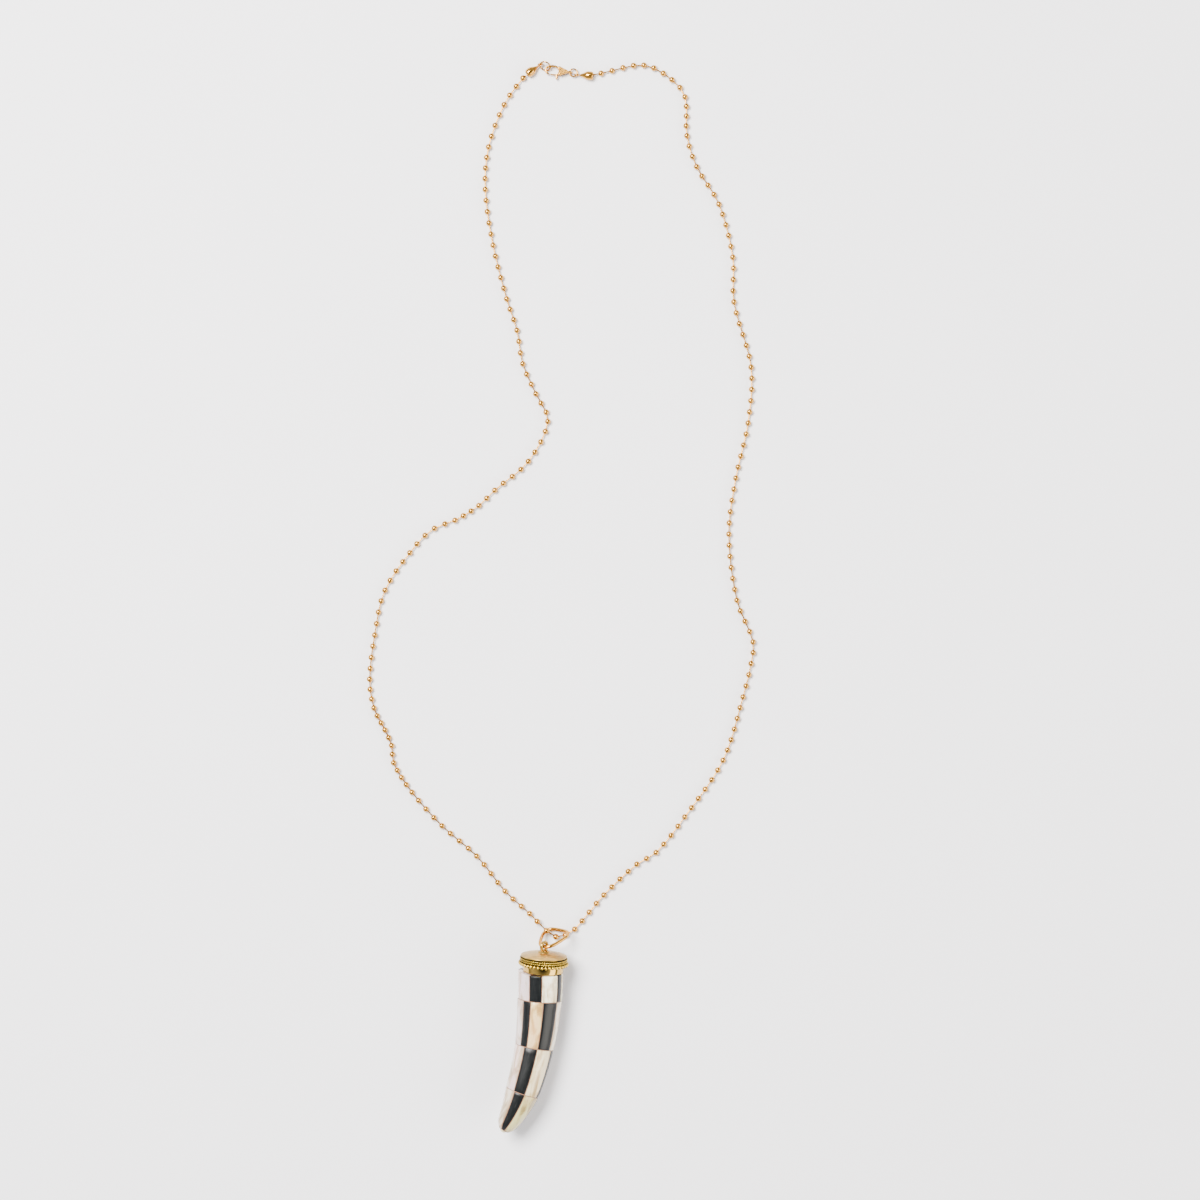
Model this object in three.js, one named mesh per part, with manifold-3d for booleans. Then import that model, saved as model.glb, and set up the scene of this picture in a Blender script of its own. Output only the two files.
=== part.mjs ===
// A horn-shaped pendant inlaid with black and mother-of-pearl tiles, on a brass ball chain with a lobster
// clasp. The necklace lies on a table as it would be laid out. Lengths are millimetres, angles are degrees,
// +Z is up, +X is to the right and +Y is towards the clasp. The origin is under the middle of the laid-out
// necklace.
import * as THREE from "three";
import { mergeVertices } from "three/addons/utils/BufferGeometryUtils.js";
import Module from "manifold-3d";

// Ball chain
const bead_diameter = 2.2;
const link_wire = 0.5;
const bead_sides = 10;
const link_sides = 5;
const bead_barrel = 0.38;
const chain_gap = 0.3;

// Horn and its tiles
const horn_length = 59.8;
const horn_radius = 8.3;
const horn_offset = 0.95;
const tile_thickness = 1.4;
const tile_share = 0.45;
const tile_joint = 0.22;
const tile_seat = 0.3;
const tile_facet = 16;
const core_sides = 12;
const tip_share = 0.3;

// Brass cap on the horn's thick end
const sleeve_radius = 7.3;
const sleeve_wall = 0.9;
const sleeve_height = 2.2;
const rope_radius = 8.2;
const rope_wire = 0.76;
const rope_rows = 2;
const rope_sides = 6;
const granule_count = 39;
const granule_diameter = 1.3;
const granule_ring = 8.4;
const disc_radius = 8.25;
const disc_thickness = 0.4;
const groove_depth = 0.6;
const groove_height = 0.3;
const dome_height = 1.2;
const cap_sides = 24;
const dome_profile = [{ out: 0.6, up: 0.72 }, { out: 0.3, up: 0.96 }];

// Eye soldered on the cap, and the bail through it
const collar_radius = 2.4;
const collar_height = 1.0;
const collar_top = 0.6;
const eye_wire = 1.2;
const eye_radius = 1.5;
const eye_rise = 2.0;
const eye_turn = 42;
const bail_wire = 1.3;
const bail_width = 9.8;
const bail_height = 10.25;
const bail_swing = 47;
const bail_drop = 45;
const bail_roll = 50.5;
const bail_steps = 22;

// Pendant as it lies: where the cap's sleeve ends, how far it leans, and how far the cap end rises
const pendant_x = -20.35;
const pendant_y = -132.5;
const pendant_lean = 3;
const pendant_rise = 5.5;

// Clasp, rings and end cups
const clasp_x = -16.99;
const clasp_y = 190.58;
const clasp_slope = 6;
const clasp_height = 1.3;
const hook_length = 5.9;
const hook_width = 4.0;
const hook_wire = 0.75;
const hook_thickness = 0.85;
const hook_end = 245;
const body_thickness = 1.9;
const body_reach = 5.3;
const neck_width = 1.0;
const lever_thickness = 0.8;
const lever_width = 0.6;
const lever_tab = 1.7;
const pivot_along = 0.49;
const pivot_across = -0.475;
const pivot_pin = 0.5;
const pivot_boss = 0.62;
const slot_front = 1.4;
const slot_back = 0.2;
const slot_mouth = 1.0;
const slot_rise = 2.2;
const clasp_gap = 0.15;
const swivel_radius = 0.85;
const swivel_wire = 0.6;
const ring_left_radius = 1.9;
const ring_right_radius = 1.35;
const ring_wire = 0.56;
const ring_left_tilt = 50;
const ring_left_turn = 20;
const ring_left_along = -0.98;
const ring_left_across = 0.596;
const ring_right_turn = -33.6;
const ring_slack = 0.08;
const ring_sides = 5;
const ring_steps = 12;
const cup_wall = 0.3;
const cup_clearance = 0.2;
const cup_sides = 10;
const cup_mouth = 0.9;
const cup_taper = 1.9;
const cup_inside = [{ across: 0, along: 1 }, { across: 0.6, along: 0.9 }, { across: 1, along: 0.4 },
  { across: 1, along: -0.4 }, { across: 0.9, along: -1 }];
const cup_outside = [{ across: 1, along: -0.7 }, { across: 1, along: 0.3 }, { across: 0.7, along: 1 }];
const cup_loop_radius = 0.85;
const cup_loop_wire = 0.55;
const cup_loop_drop = 0.3;
const cup_left_roll = -50;
const cup_right_roll = 90;
const cup_left_turn = 37;
const cup_right_turn = 176;

const bead_radius = bead_diameter / 2;
const link_radius = link_wire / 2;
const cup_inner = bead_radius + cup_clearance;
const cup_outer = cup_inner + cup_wall;
const cup_reach = cup_outer + cup_taper + cup_loop_radius;
const swivel_reach = body_reach + swivel_radius;
const pivot_x = pivot_along * body_reach;
const pivot_y = (pivot_across * hook_width) / 2;

const radians = THREE.MathUtils.degToRad;

function stepFrom(place, distance, turn) {
  return { x: place.x + distance * Math.cos(radians(turn)), y: place.y + distance * Math.sin(radians(turn)) };
}

// Places on the table that follow from the clasp: its rings, and the end cups' loops and beads
function claspPlace(along, across) {
  return stepFrom(stepFrom({ x: clasp_x, y: clasp_y }, along, -clasp_slope), across, 90 - clasp_slope);
}

const ring_left_place = claspPlace((ring_left_along * hook_length) / 2, (ring_left_across * hook_width) / 2);
const ring_right_place = claspPlace(swivel_reach + ring_right_radius, 0);
const loop_left = stepFrom(ring_left_place, -ring_left_radius, -ring_left_turn);
const loop_right = stepFrom(ring_right_place, ring_right_radius + ring_slack, ring_right_turn);
const first_bead = stepFrom(loop_left, -cup_reach, cup_left_turn);
const last_bead = stepFrom(loop_right, -cup_reach, cup_right_turn);

// Laid-out route of the chain: bead number, place on the table, and how far that bead is lifted off it.
// The first and last beads sit in the end cups, and beads 95 to 97 go over, into and under the bail.
const nearBail = (x, y) => ({ x: pendant_x + x, y: pendant_y + y });
const route = [
  { bead: 0, ...first_bead, lift: 0.5 }, { bead: 1, x: -27.7, y: 187.9, lift: 0 },
  { bead: 4, x: -34.5, y: 178.3, lift: 0 }, { bead: 8, x: -40.1, y: 163.1, lift: 0 },
  { bead: 12, x: -41.3, y: 147.8, lift: 0 }, { bead: 17, x: -38.5, y: 127.7, lift: 0 },
  { bead: 22, x: -33.6, y: 108.4, lift: 0 }, { bead: 25, x: -29.9, y: 97.1, lift: 0 },
  { bead: 28, x: -27.8, y: 85.0, lift: 0 }, { bead: 31, x: -23.1, y: 74.2, lift: 0 },
  { bead: 34, x: -18.8, y: 64.3, lift: 0 }, { bead: 38, x: -25.8, y: 49.9, lift: 0 },
  { bead: 42, x: -37.9, y: 39.5, lift: 0 }, { bead: 44, x: -43.6, y: 34.0, lift: 0 },
  { bead: 47, x: -52.2, y: 28.7, lift: 0 }, { bead: 49, x: -59.6, y: 25.8, lift: 0 },
  { bead: 51, x: -65.9, y: 20.2, lift: 0 }, { bead: 56, x: -77.4, y: 3.5, lift: 0 },
  { bead: 60, x: -81.1, y: -12.6, lift: 0 }, { bead: 64, x: -82.9, y: -28.5, lift: 0 },
  { bead: 67, x: -81.4, y: -38.9, lift: 0 }, { bead: 70, x: -77.4, y: -46.8, lift: 0 },
  { bead: 72, x: -75.0, y: -52.4, lift: 0 }, { bead: 74, x: -74.3, y: -58.6, lift: 0 },
  { bead: 78, x: -67.7, y: -69.2, lift: 0 }, { bead: 82, x: -56.9, y: -81.3, lift: 0 },
  { bead: 86, x: -44.4, y: -92.2, lift: 0 }, { bead: 90, x: -34.2, y: -104.8, lift: 0 },
  { bead: 93, ...nearBail(-4.95, 19.6), lift: 0.2 }, { bead: 94, ...nearBail(-2.25, 16.9), lift: 0.9 },
  { bead: 95, ...nearBail(1.15, 13.7), lift: 2.2 }, { bead: 96, ...nearBail(4.45, 11.3), lift: 0.3 },
  { bead: 97, ...nearBail(7.95, 11.9), lift: 0 }, { bead: 98, ...nearBail(11.25, 14), lift: 0 },
  { bead: 102, x: 1.4, y: -106.2, lift: 0 }, { bead: 106, x: 13.3, y: -95.1, lift: 0 },
  { bead: 108, x: 20.2, y: -90.9, lift: 0 }, { bead: 112, x: 30.5, y: -78.1, lift: 0 },
  { bead: 118, x: 44.3, y: -57.7, lift: 0 }, { bead: 124, x: 51.5, y: -34.9, lift: 0 },
  { bead: 127, x: 54.4, y: -22.9, lift: 0 }, { bead: 129, x: 55.1, y: -15.1, lift: 0 },
  { bead: 133, x: 49.3, y: -0.1, lift: 0 }, { bead: 139, x: 46.4, y: 23.7, lift: 0 },
  { bead: 144, x: 48.9, y: 43.9, lift: 0 }, { bead: 149, x: 53.3, y: 63.7, lift: 0 },
  { bead: 154, x: 54.4, y: 83.8, lift: 0 }, { bead: 160, x: 48.2, y: 107.3, lift: 0 },
  { bead: 164, x: 47.8, y: 123.4, lift: 0 }, { bead: 169, x: 42.8, y: 142.5, lift: 0 },
  { bead: 173, x: 34.8, y: 156.0, lift: 0 }, { bead: 176, x: 31.3, y: 167.1, lift: 0 },
  { bead: 180, x: 30.6, y: 181.1, lift: 0 }, { bead: 182, x: 25.9, y: 187.3, lift: 0 },
  { bead: 185, x: 15.8, y: 192.5, lift: 0 }, { bead: 189, x: 0.4, y: 189.6, lift: 0 },
  { bead: 190, ...last_bead, lift: 0.5 },
];
const last_left_bead = 96;

// Straight stretches of the horn from the cap to the tip. Length is a share of horn_length and end_radius of
// horn_radius. Swing turns the stretch to the left of the cap's axis, and rise turns it up from that axis.
const stretches = [
  { tier: 1, length: 0.172, end_radius: 0.965, swing: -1.6, rise: 2.5 },
  { tier: 2, length: 0.284, end_radius: 0.845, swing: 3.6, rise: 6.5 },
  { tier: 3, length: 0.280, end_radius: 0.735, swing: 12.1, rise: 8 },
  { tier: 4, length: 0.140, end_radius: 0.560, swing: 21, rise: 8.5 },
  { tier: 4, length: 0.080, end_radius: 0.400, swing: 27, rise: 8.5 },
  { tier: 4, length: 0.030, end_radius: 0.230, swing: 30, rise: 8.5 },
];

// Tile joints of each tier that face up, as angles from straight up, to the right positive.
// The tiles between them alternate, starting with pearl, and even ones fill the rest of the way round.
const tiers = [
  { tier: 1, tiles: 10, cuts: [-104, -27, 6, 50, 69] },
  { tier: 2, tiles: 10, cuts: [-85, -46, -22, 11, 53, 92] },
  { tier: 3, tiles: 8, cuts: [-96, -30, 11, 63, 97] },
  { tier: 4, tiles: 8, cuts: [-96, -27, 11, 80, 112] },
];

// Bail outline: across is a share of half its width, up is a share of its height from the eye
const bail_outline = [
  { across: 0, up: 0 }, { across: 0.4, up: 0.05 }, { across: 0.63, up: 0.2 }, { across: 0.85, up: 0.46 },
  { across: 0.97, up: 0.72 }, { across: 0.82, up: 0.94 }, { across: 0.42, up: 1 },
  { across: -0.42, up: 1 }, { across: -0.82, up: 0.94 }, { across: -0.97, up: 0.72 },
  { across: -0.85, up: 0.46 }, { across: -0.63, up: 0.2 }, { across: -0.4, up: 0.05 },
];

// Clasp outlines: along is a share of body_reach from the middle of the hook, across of half of hook_width
const cheek_outline = [
  { along: 0.36, across: 0.625 }, { along: 0.46, across: 0.85 },
  { along: 1, across: neck_width / hook_width }, { along: 1, across: -neck_width / hook_width },
  { along: 0.7, across: -0.62 }, { along: 0.57, across: -0.8 }, { along: 0.42, across: -0.8 },
  { along: 0.37, across: -0.48 }, { along: 0.42, across: 0 },
];
const arm_path = [
  { along: -0.136, across: -0.71 }, { along: 0.02, across: -0.75 }, { along: 0.245, across: -0.725 },
  { along: 0.45, across: pivot_across },
];

// Thumb tab of the lever, from its root on the arm: along as above, and drop as a share of lever_tab
const tab_root = -0.72;
const tab_path = [{ along: 0.283, drop: 0 }, { along: 0.306, drop: 0.5 }, { along: 0.317, drop: 1 }];

const materials = {
  chain_gold: new THREE.MeshStandardMaterial({ color: "#c08a4a", roughness: 0.22, metalness: 1 }),
  cap_brass: new THREE.MeshStandardMaterial({ color: "#c9a55a", roughness: 0.3, metalness: 1 }),
  black_tile: new THREE.MeshStandardMaterial({ color: "#1f2426", roughness: 0.3, metalness: 0 }),
  pearl_tile: new THREE.MeshStandardMaterial({ color: "#ede4d2", roughness: 0.25, metalness: 0 }),
  joint_resin: new THREE.MeshStandardMaterial({ color: "#8a6450", roughness: 0.6, metalness: 0 }),
};

const wasm = await Module();
wasm.setup();

function toSolid(geometry) {
  const bare = geometry.clone();
  bare.deleteAttribute("normal");
  bare.deleteAttribute("uv");
  const merged = mergeVertices(bare, 1e-4);
  return new wasm.Manifold(new wasm.Mesh({
    numProp: 3,
    vertProperties: new Float32Array(merged.attributes.position.array),
    triVerts: new Uint32Array(merged.index.array),
  }));
}

function toGeometry(solid) {
  const mesh = solid.getMesh();
  const geometry = new THREE.BufferGeometry();
  geometry.setAttribute("position", new THREE.BufferAttribute(new Float32Array(mesh.vertProperties), 3));
  geometry.setIndex(new THREE.BufferAttribute(new Uint32Array(mesh.triVerts), 1));
  geometry.computeVertexNormals();
  return geometry;
}

function fuse(...geometries) {
  return toGeometry(geometries.map(toSolid).reduce((whole, next) => whole.add(next)));
}

function piece(name, geometry, material) {
  const mesh = new THREE.Mesh(geometry, materials[material].clone());
  mesh.name = name;
  return mesh;
}

function indexed(points, faces) {
  const geometry = new THREE.BufferGeometry();
  const numbers = points.flatMap((point) => [point.x, point.y, point.z]);
  geometry.setAttribute("position", new THREE.Float32BufferAttribute(numbers, 3));
  geometry.setIndex(faces);
  geometry.computeVertexNormals();
  return geometry;
}

// Joins rings of points into a closed skin. Each ring has as many points as the next, or half or twice.
function skin(rings) {
  const points = rings.flat();
  const faces = [];
  const starts = [];
  rings.reduce((start, ring) => {
    starts.push(start);
    return start + ring.length;
  }, 0);
  for (let i = 0; i + 1 < rings.length; i += 1) {
    const [a, b] = [starts[i], starts[i + 1]];
    const [na, nb] = [rings[i].length, rings[i + 1].length];
    if (na === nb) {
      for (let j = 0; j < na; j += 1) {
        const k = (j + 1) % na;
        faces.push(a + j, a + k, b + k, a + j, b + k, b + j);
      }
    } else if (nb === 2 * na) {
      for (let j = 0; j < na; j += 1) {
        const k = (j + 1) % na;
        const m = b + 2 * j;
        const n = b + ((2 * j + 2) % nb);
        faces.push(a + j, m + 1, m, a + j, a + k, m + 1, a + k, n, m + 1);
      }
    } else {
      for (let j = 0; j < nb; j += 1) {
        const k = (j + 1) % nb;
        const m = a + 2 * j;
        const n = a + ((2 * j + 2) % na);
        faces.push(b + j, m, m + 1, b + j, m + 1, b + k, b + k, m + 1, n);
      }
    }
  }
  const first = rings[0].length;
  const last = starts[rings.length - 1];
  for (let j = 1; j + 1 < first; j += 1) faces.push(0, j + 1, j);
  for (let j = 1; j + 1 < rings[rings.length - 1].length; j += 1) faces.push(last, last + j, last + j + 1);
  return indexed(points, faces);
}

function ring(centre, along, radius, sides) {
  const side = new THREE.Vector3(0, 0, 1).cross(along).normalize();
  const up = new THREE.Vector3().crossVectors(along, side);
  return Array.from({ length: sides }, (_, j) => {
    const angle = (2 * Math.PI * j) / sides;
    return centre.clone().addScaledVector(up, -radius * Math.cos(angle))
      .addScaledVector(side, radius * Math.sin(angle));
  });
}

// Smooth curve through the route's rows, asked for by bead number
function slope(i, key) {
  const before = route[Math.max(i - 1, 0)];
  const after = route[Math.min(i + 1, route.length - 1)];
  return (after[key] - before[key]) / (after.bead - before.bead);
}

function beadPlace(number) {
  let i = route.findIndex((row) => row.bead >= number);
  i = Math.max(i, 1);
  const [a, b] = [route[i - 1], route[i]];
  const span = b.bead - a.bead;
  const t = (number - a.bead) / span;
  const along = (key) => (2 * t ** 3 - 3 * t ** 2 + 1) * a[key] + (3 * t ** 2 - 2 * t ** 3) * b[key]
    + span * ((t ** 3 - 2 * t ** 2 + t) * slope(i - 1, key) + (t ** 3 - t ** 2) * slope(i, key));
  const straight = a.lift + t * (b.lift - a.lift);
  return new THREE.Vector3(along("x"), along("y"), bead_radius + straight);
}

function chainRun(first, last) {
  const places = [];
  for (let number = first; number <= last; number += 1) places.push(beadPlace(number));
  const pole = Math.sqrt(bead_radius ** 2 - link_radius ** 2);
  const rings = [];
  places.forEach((place, i) => {
    const before = places[Math.max(i - 1, 0)];
    const after = places[Math.min(i + 1, places.length - 1)];
    const along = after.clone().sub(before).normalize();
    const at = (offset, radius, sides) => (
      ring(place.clone().addScaledVector(along, offset), along, radius, sides));
    const barrel = bead_barrel * bead_radius;
    rings.push(at(-pole, link_radius, link_sides), at(-barrel, bead_radius, bead_sides));
    rings.push(at(barrel, bead_radius, bead_sides), at(pole, link_radius, link_sides));
  });
  if (last === last_left_bead) {
    const next = beadPlace(last + 1);
    const along = next.clone().sub(places[places.length - 1]).normalize();
    rings.push(ring(next.addScaledVector(along, -(bead_radius + chain_gap)), along, link_radius, link_sides));
  }
  return skin(rings);
}

// Horn sections in the pendant's own frame: the cap's axis runs along +Y, and +Z is up
function hornFrame(direction) {
  const right = new THREE.Vector3(1, 0, 0).addScaledVector(direction, -direction.x).normalize();
  const up = new THREE.Vector3().crossVectors(direction, right).normalize();
  return { right, up };
}

function stretchDirection(row) {
  const [swing, rise] = [radians(row.swing), radians(row.rise)];
  const level = Math.cos(rise);
  return new THREE.Vector3(-Math.sin(swing) * level, -Math.cos(swing) * level, Math.sin(rise));
}

function hornSections() {
  const centre = new THREE.Vector3(-horn_offset, 0, 0);
  const sections = [{ centre: centre.clone(), radius: horn_radius, direction: new THREE.Vector3(0, -1, 0) }];
  stretches.forEach((row, i) => {
    const direction = stretchDirection(row);
    centre.addScaledVector(direction, row.length * horn_length);
    const turned = direction.clone();
    if (i + 1 < stretches.length) turned.add(stretchDirection(stretches[i + 1])).normalize();
    sections.push({ centre: centre.clone(), radius: row.end_radius * horn_radius, direction: turned });
  });
  return sections;
}

const horn_sections = hornSections();

function onSection(section, radius, angle, shift) {
  const { right, up } = hornFrame(section.direction);
  return section.centre.clone().addScaledVector(section.direction, shift)
    .addScaledVector(right, radius * Math.sin(angle)).addScaledVector(up, radius * Math.cos(angle));
}

function tileDepth(section) {
  return Math.min(tile_thickness, tile_share * section.radius);
}

function tileGeometry(tier, from, to) {
  const first = stretches.findIndex((row) => row.tier === tier);
  const last = stretches.findLastIndex((row) => row.tier === tier) + 1;
  const facets = Math.max(2, Math.round((to - from) / tile_facet));
  const rings = [];
  for (let i = first; i <= last; i += 1) {
    const section = horn_sections[i];
    const start_gap = i === 0 ? tile_seat : tile_joint / 2;
    const shift = (i === first) * start_gap - (i === last) * tile_joint / 2;
    const trim = tile_joint / 2 / section.radius;
    const [start, end] = [radians(from) + trim, radians(to) - trim];
    const outline = [];
    for (let j = 0; j <= facets; j += 1) {
      outline.push(onSection(section, section.radius, start + ((end - start) * j) / facets, shift));
    }
    const depth = tileDepth(section);
    outline.push(onSection(section, section.radius - depth, end, shift));
    outline.push(onSection(section, section.radius - depth, start, shift));
    rings.push(outline.reverse());
  }
  return skin(rings);
}

function tierAngles({ tiles, cuts }) {
  const seen = cuts.length - 1;
  const rest = tiles - seen;
  const end = cuts[0] + 360;
  const hidden = Array.from({ length: rest }, (_, j) => cuts[seen] + ((end - cuts[seen]) * (j + 1)) / rest);
  return [...cuts, ...hidden];
}

function addTiles(group) {
  for (const row of tiers) {
    const angles = tierAngles(row);
    for (let i = 0; i < row.tiles; i += 1) {
      const name = `tile_${row.tier}_${String(i + 1).padStart(2, "0")}`;
      const material = i % 2 === 0 ? "pearl_tile" : "black_tile";
      group.add(piece(name, tileGeometry(row.tier, angles[i], angles[i + 1]), material));
    }
  }
}

function widestTile() {
  return Math.max(...tiers.flatMap((row) => {
    const angles = tierAngles(row);
    return angles.slice(1).map((angle, i) => angle - angles[i]);
  }));
}

// The core is inside the flat backs of the tiles
function coreGeometry() {
  const flat_back = Math.cos(radians(widestTile() / 2));
  const stub = sleeve_radius - sleeve_wall - tile_seat;
  const rings = [];
  const circle = (section, radius, shift) => Array.from({ length: core_sides }, (_, j) => (
    onSection(section, radius, (-2 * Math.PI * j) / core_sides, shift)));
  const cap_end = { centre: new THREE.Vector3(0, sleeve_height, 0), direction: new THREE.Vector3(0, -1, 0) };
  const cap_mouth = { centre: new THREE.Vector3(0, 0, 0), direction: new THREE.Vector3(0, -1, 0) };
  rings.push(circle(cap_end, stub, tile_seat), circle(cap_mouth, stub, 0));
  horn_sections.forEach((section, i) => {
    const radius = (section.radius - tileDepth(section)) * flat_back - tile_seat;
    rings.push(circle(section, radius, i === 0 ? tile_seat : 0));
  });
  const tip = horn_sections[horn_sections.length - 1];
  const reach = horn_length * (1 - stretches.reduce((sum, row) => sum + row.length, 0));
  rings.push(circle(tip, tip_share * tip.radius, reach));
  return skin(rings);
}

// Cap: a turned body with its rows of wire, a scalloped ring for the granules, and the collar and eye
function capProfile() {
  const granule_top = sleeve_height + granule_diameter;
  const points = [[sleeve_radius, 0], [sleeve_radius, sleeve_height], [rope_radius, sleeve_height]];
  for (let row = 0; row < rope_rows; row += 1) {
    const middle = granule_top + (row + 0.5) * rope_wire;
    for (let j = 0; j <= rope_sides / 2; j += 1) {
      const angle = -Math.PI / 2 + (Math.PI * j) / (rope_sides / 2);
      const inset = j === 0 ? 0 : (rope_wire / 2) * Math.cos(angle);
      points.push([rope_radius + inset, middle + (rope_wire / 2) * Math.sin(angle)]);
    }
  }
  const groove_top = granule_top + rope_rows * rope_wire + groove_height;
  const disc_top = groove_top + disc_thickness;
  const groove_radius = rope_radius - groove_depth;
  points.push([groove_radius, groove_top - groove_height], [groove_radius, groove_top]);
  points.push([disc_radius, groove_top], [disc_radius, disc_top]);
  for (const { out, up } of dome_profile) points.push([out * disc_radius, disc_top + up * dome_height]);
  points.push([0, disc_top + dome_height]);
  return { points, top: disc_top + dome_height };
}

const cap_top = capProfile().top;
const eye_height = cap_top + eye_rise;

function lathe(points, sides) {
  const apart = (p, i) => i === 0 || Math.hypot(p[0] - points[i - 1][0], p[1] - points[i - 1][1]) > 1e-6;
  return new THREE.LatheGeometry(points.filter(apart).map(([r, h]) => new THREE.Vector2(r, h)), sides);
}

function granuleRing() {
  const shape = new THREE.Shape();
  const corners = 3;
  for (let i = 0; i < granule_count * corners; i += 1) {
    const valley = i % corners === 0;
    const step = Math.floor(i / corners) + (valley ? 0 : 0.25 + 0.5 * ((i % corners) - 1));
    const angle = (2 * Math.PI * step) / granule_count;
    const radius = granule_ring + (valley ? 0 : granule_diameter / 2);
    const place = [radius * Math.cos(angle), radius * Math.sin(angle)];
    if (i === 0) shape.moveTo(...place);
    else shape.lineTo(...place);
  }
  shape.closePath();
  const geometry = new THREE.ExtrudeGeometry(shape, { depth: granule_diameter, bevelEnabled: false });
  geometry.rotateX(-Math.PI / 2);
  geometry.translate(0, sleeve_height, 0);
  return geometry;
}

function capGeometry() {
  const socket = sleeve_radius - sleeve_wall;
  const inside = [[0, sleeve_height], [socket, sleeve_height], [socket, 0]];
  const body = lathe([...inside, ...capProfile().points], cap_sides);
  const collar_foot = cap_top - dome_height / 2;
  const collar = lathe([[0, collar_foot], [collar_radius, collar_foot], [collar_radius, cap_top],
    [collar_top * collar_radius, cap_top + collar_height], [0, cap_top + collar_height]], cup_sides);
  const eye = new THREE.TorusGeometry(eye_radius, eye_wire / 2, link_sides + 1, ring_steps);
  eye.rotateY(radians(90 - eye_turn));
  eye.translate(0, eye_height, 0);
  return fuse(body, granuleRing(), collar, eye);
}

function bailGeometry() {
  const points = bail_outline.map(({ across, up }) => (
    new THREE.Vector3((across * bail_width) / 2, up * bail_height, 0)));
  const curve = new THREE.CatmullRomCurve3(points, true, "centripetal");
  return new THREE.TubeGeometry(curve, bail_steps, bail_wire / 2, link_sides + 1, true);
}

function makePendant() {
  const pendant = new THREE.Group();
  pendant.rotation.set(radians(pendant_rise), 0, radians(-pendant_lean), "ZXY");
  pendant.add(piece("horn_core", coreGeometry(), "joint_resin"));
  addTiles(pendant);
  pendant.add(piece("cap", capGeometry(), "cap_brass"));
  pendant.position.set(pendant_x, pendant_y, 0);
  pendant.updateMatrixWorld(true);
  pendant.position.z = -new THREE.Box3().setFromObject(pendant, true).min.z;
  pendant.updateMatrixWorld(true);
  return pendant;
}

function makeBail(pendant) {
  const bail = piece("bail", bailGeometry(), "chain_gold");
  bail.position.copy(pendant.localToWorld(new THREE.Vector3(0, eye_height, 0)));
  bail.rotation.set(radians(-bail_drop), radians(-bail_roll), radians(-bail_swing), "ZXY");
  return bail;
}

// End cup: holds the chain's last ball, and its loop takes the ring. It lies along +X with the ball at 0.
function cupProfile() {
  const neck = cup_loop_wire / 2;
  const shoulder = cup_outer + cup_taper;
  const inside = cup_inside.map(({ across, along }) => [across * cup_inner, along * cup_inner]);
  const outside = cup_outside.map(({ across, along }) => [across * cup_outer, along * cup_outer]);
  const lip = [[cup_mouth, -cup_outer], [cup_mouth + cup_wall, -cup_outer]];
  return [...inside, ...lip, ...outside, [neck, shoulder], [0, shoulder]];
}

function cupGeometry(roll) {
  const cup = lathe(cupProfile(), cup_sides);
  cup.rotateZ(-Math.PI / 2);
  const loop = new THREE.TorusGeometry(cup_loop_radius, cup_loop_wire / 2, ring_sides, ring_steps);
  loop.rotateX(radians(roll));
  loop.translate(cup_reach, 0, 0);
  const geometry = fuse(cup, loop);
  geometry.rotateY(Math.atan2(cup_loop_drop, cup_reach));
  return geometry;
}

function makeCup(name, bead, turn, roll) {
  const mesh = piece(name, cupGeometry(roll), "chain_gold");
  mesh.position.copy(beadPlace(bead));
  mesh.rotation.z = radians(turn);
  return mesh;
}

function makeRing(name, radius, place, turn, tilt) {
  const geometry = new THREE.TorusGeometry(radius, ring_wire / 2, ring_sides, ring_steps);
  const mesh = piece(name, geometry, "chain_gold");
  mesh.position.copy(place);
  mesh.rotation.set(radians(tilt), 0, radians(turn), "ZXY");
  return mesh;
}

// Lobster clasp, flat on the table with its hook to the left; the frame's origin is the middle of the hook
function extrudeFlat(shape, thickness, steps) {
  const options = { depth: thickness, bevelEnabled: false, curveSegments: steps };
  const geometry = new THREE.ExtrudeGeometry(shape, options);
  geometry.translate(0, 0, -thickness / 2);
  return geometry;
}

function barShape(points, width) {
  const curve = new THREE.CatmullRomCurve3(points.map(([x, y]) => new THREE.Vector3(x, y, 0)));
  const steps = 2 * points.length;
  const left = [];
  const right = [];
  for (let i = 0; i <= steps; i += 1) {
    const place = curve.getPoint(i / steps);
    const along = curve.getTangent(i / steps);
    left.push(new THREE.Vector2(place.x - (along.y * width) / 2, place.y + (along.x * width) / 2));
    right.push(new THREE.Vector2(place.x + (along.y * width) / 2, place.y - (along.x * width) / 2));
  }
  return new THREE.Shape([...left, ...right.reverse()]);
}

function disc(x, y, radius, thickness, sides) {
  const geometry = new THREE.CylinderGeometry(radius, radius, thickness, sides);
  geometry.rotateX(Math.PI / 2);
  geometry.translate(x, y, 0);
  return geometry;
}

function onClasp(along, across, drop = 0) {
  return [along * body_reach, (across * hook_width) / 2 - drop];
}

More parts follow.
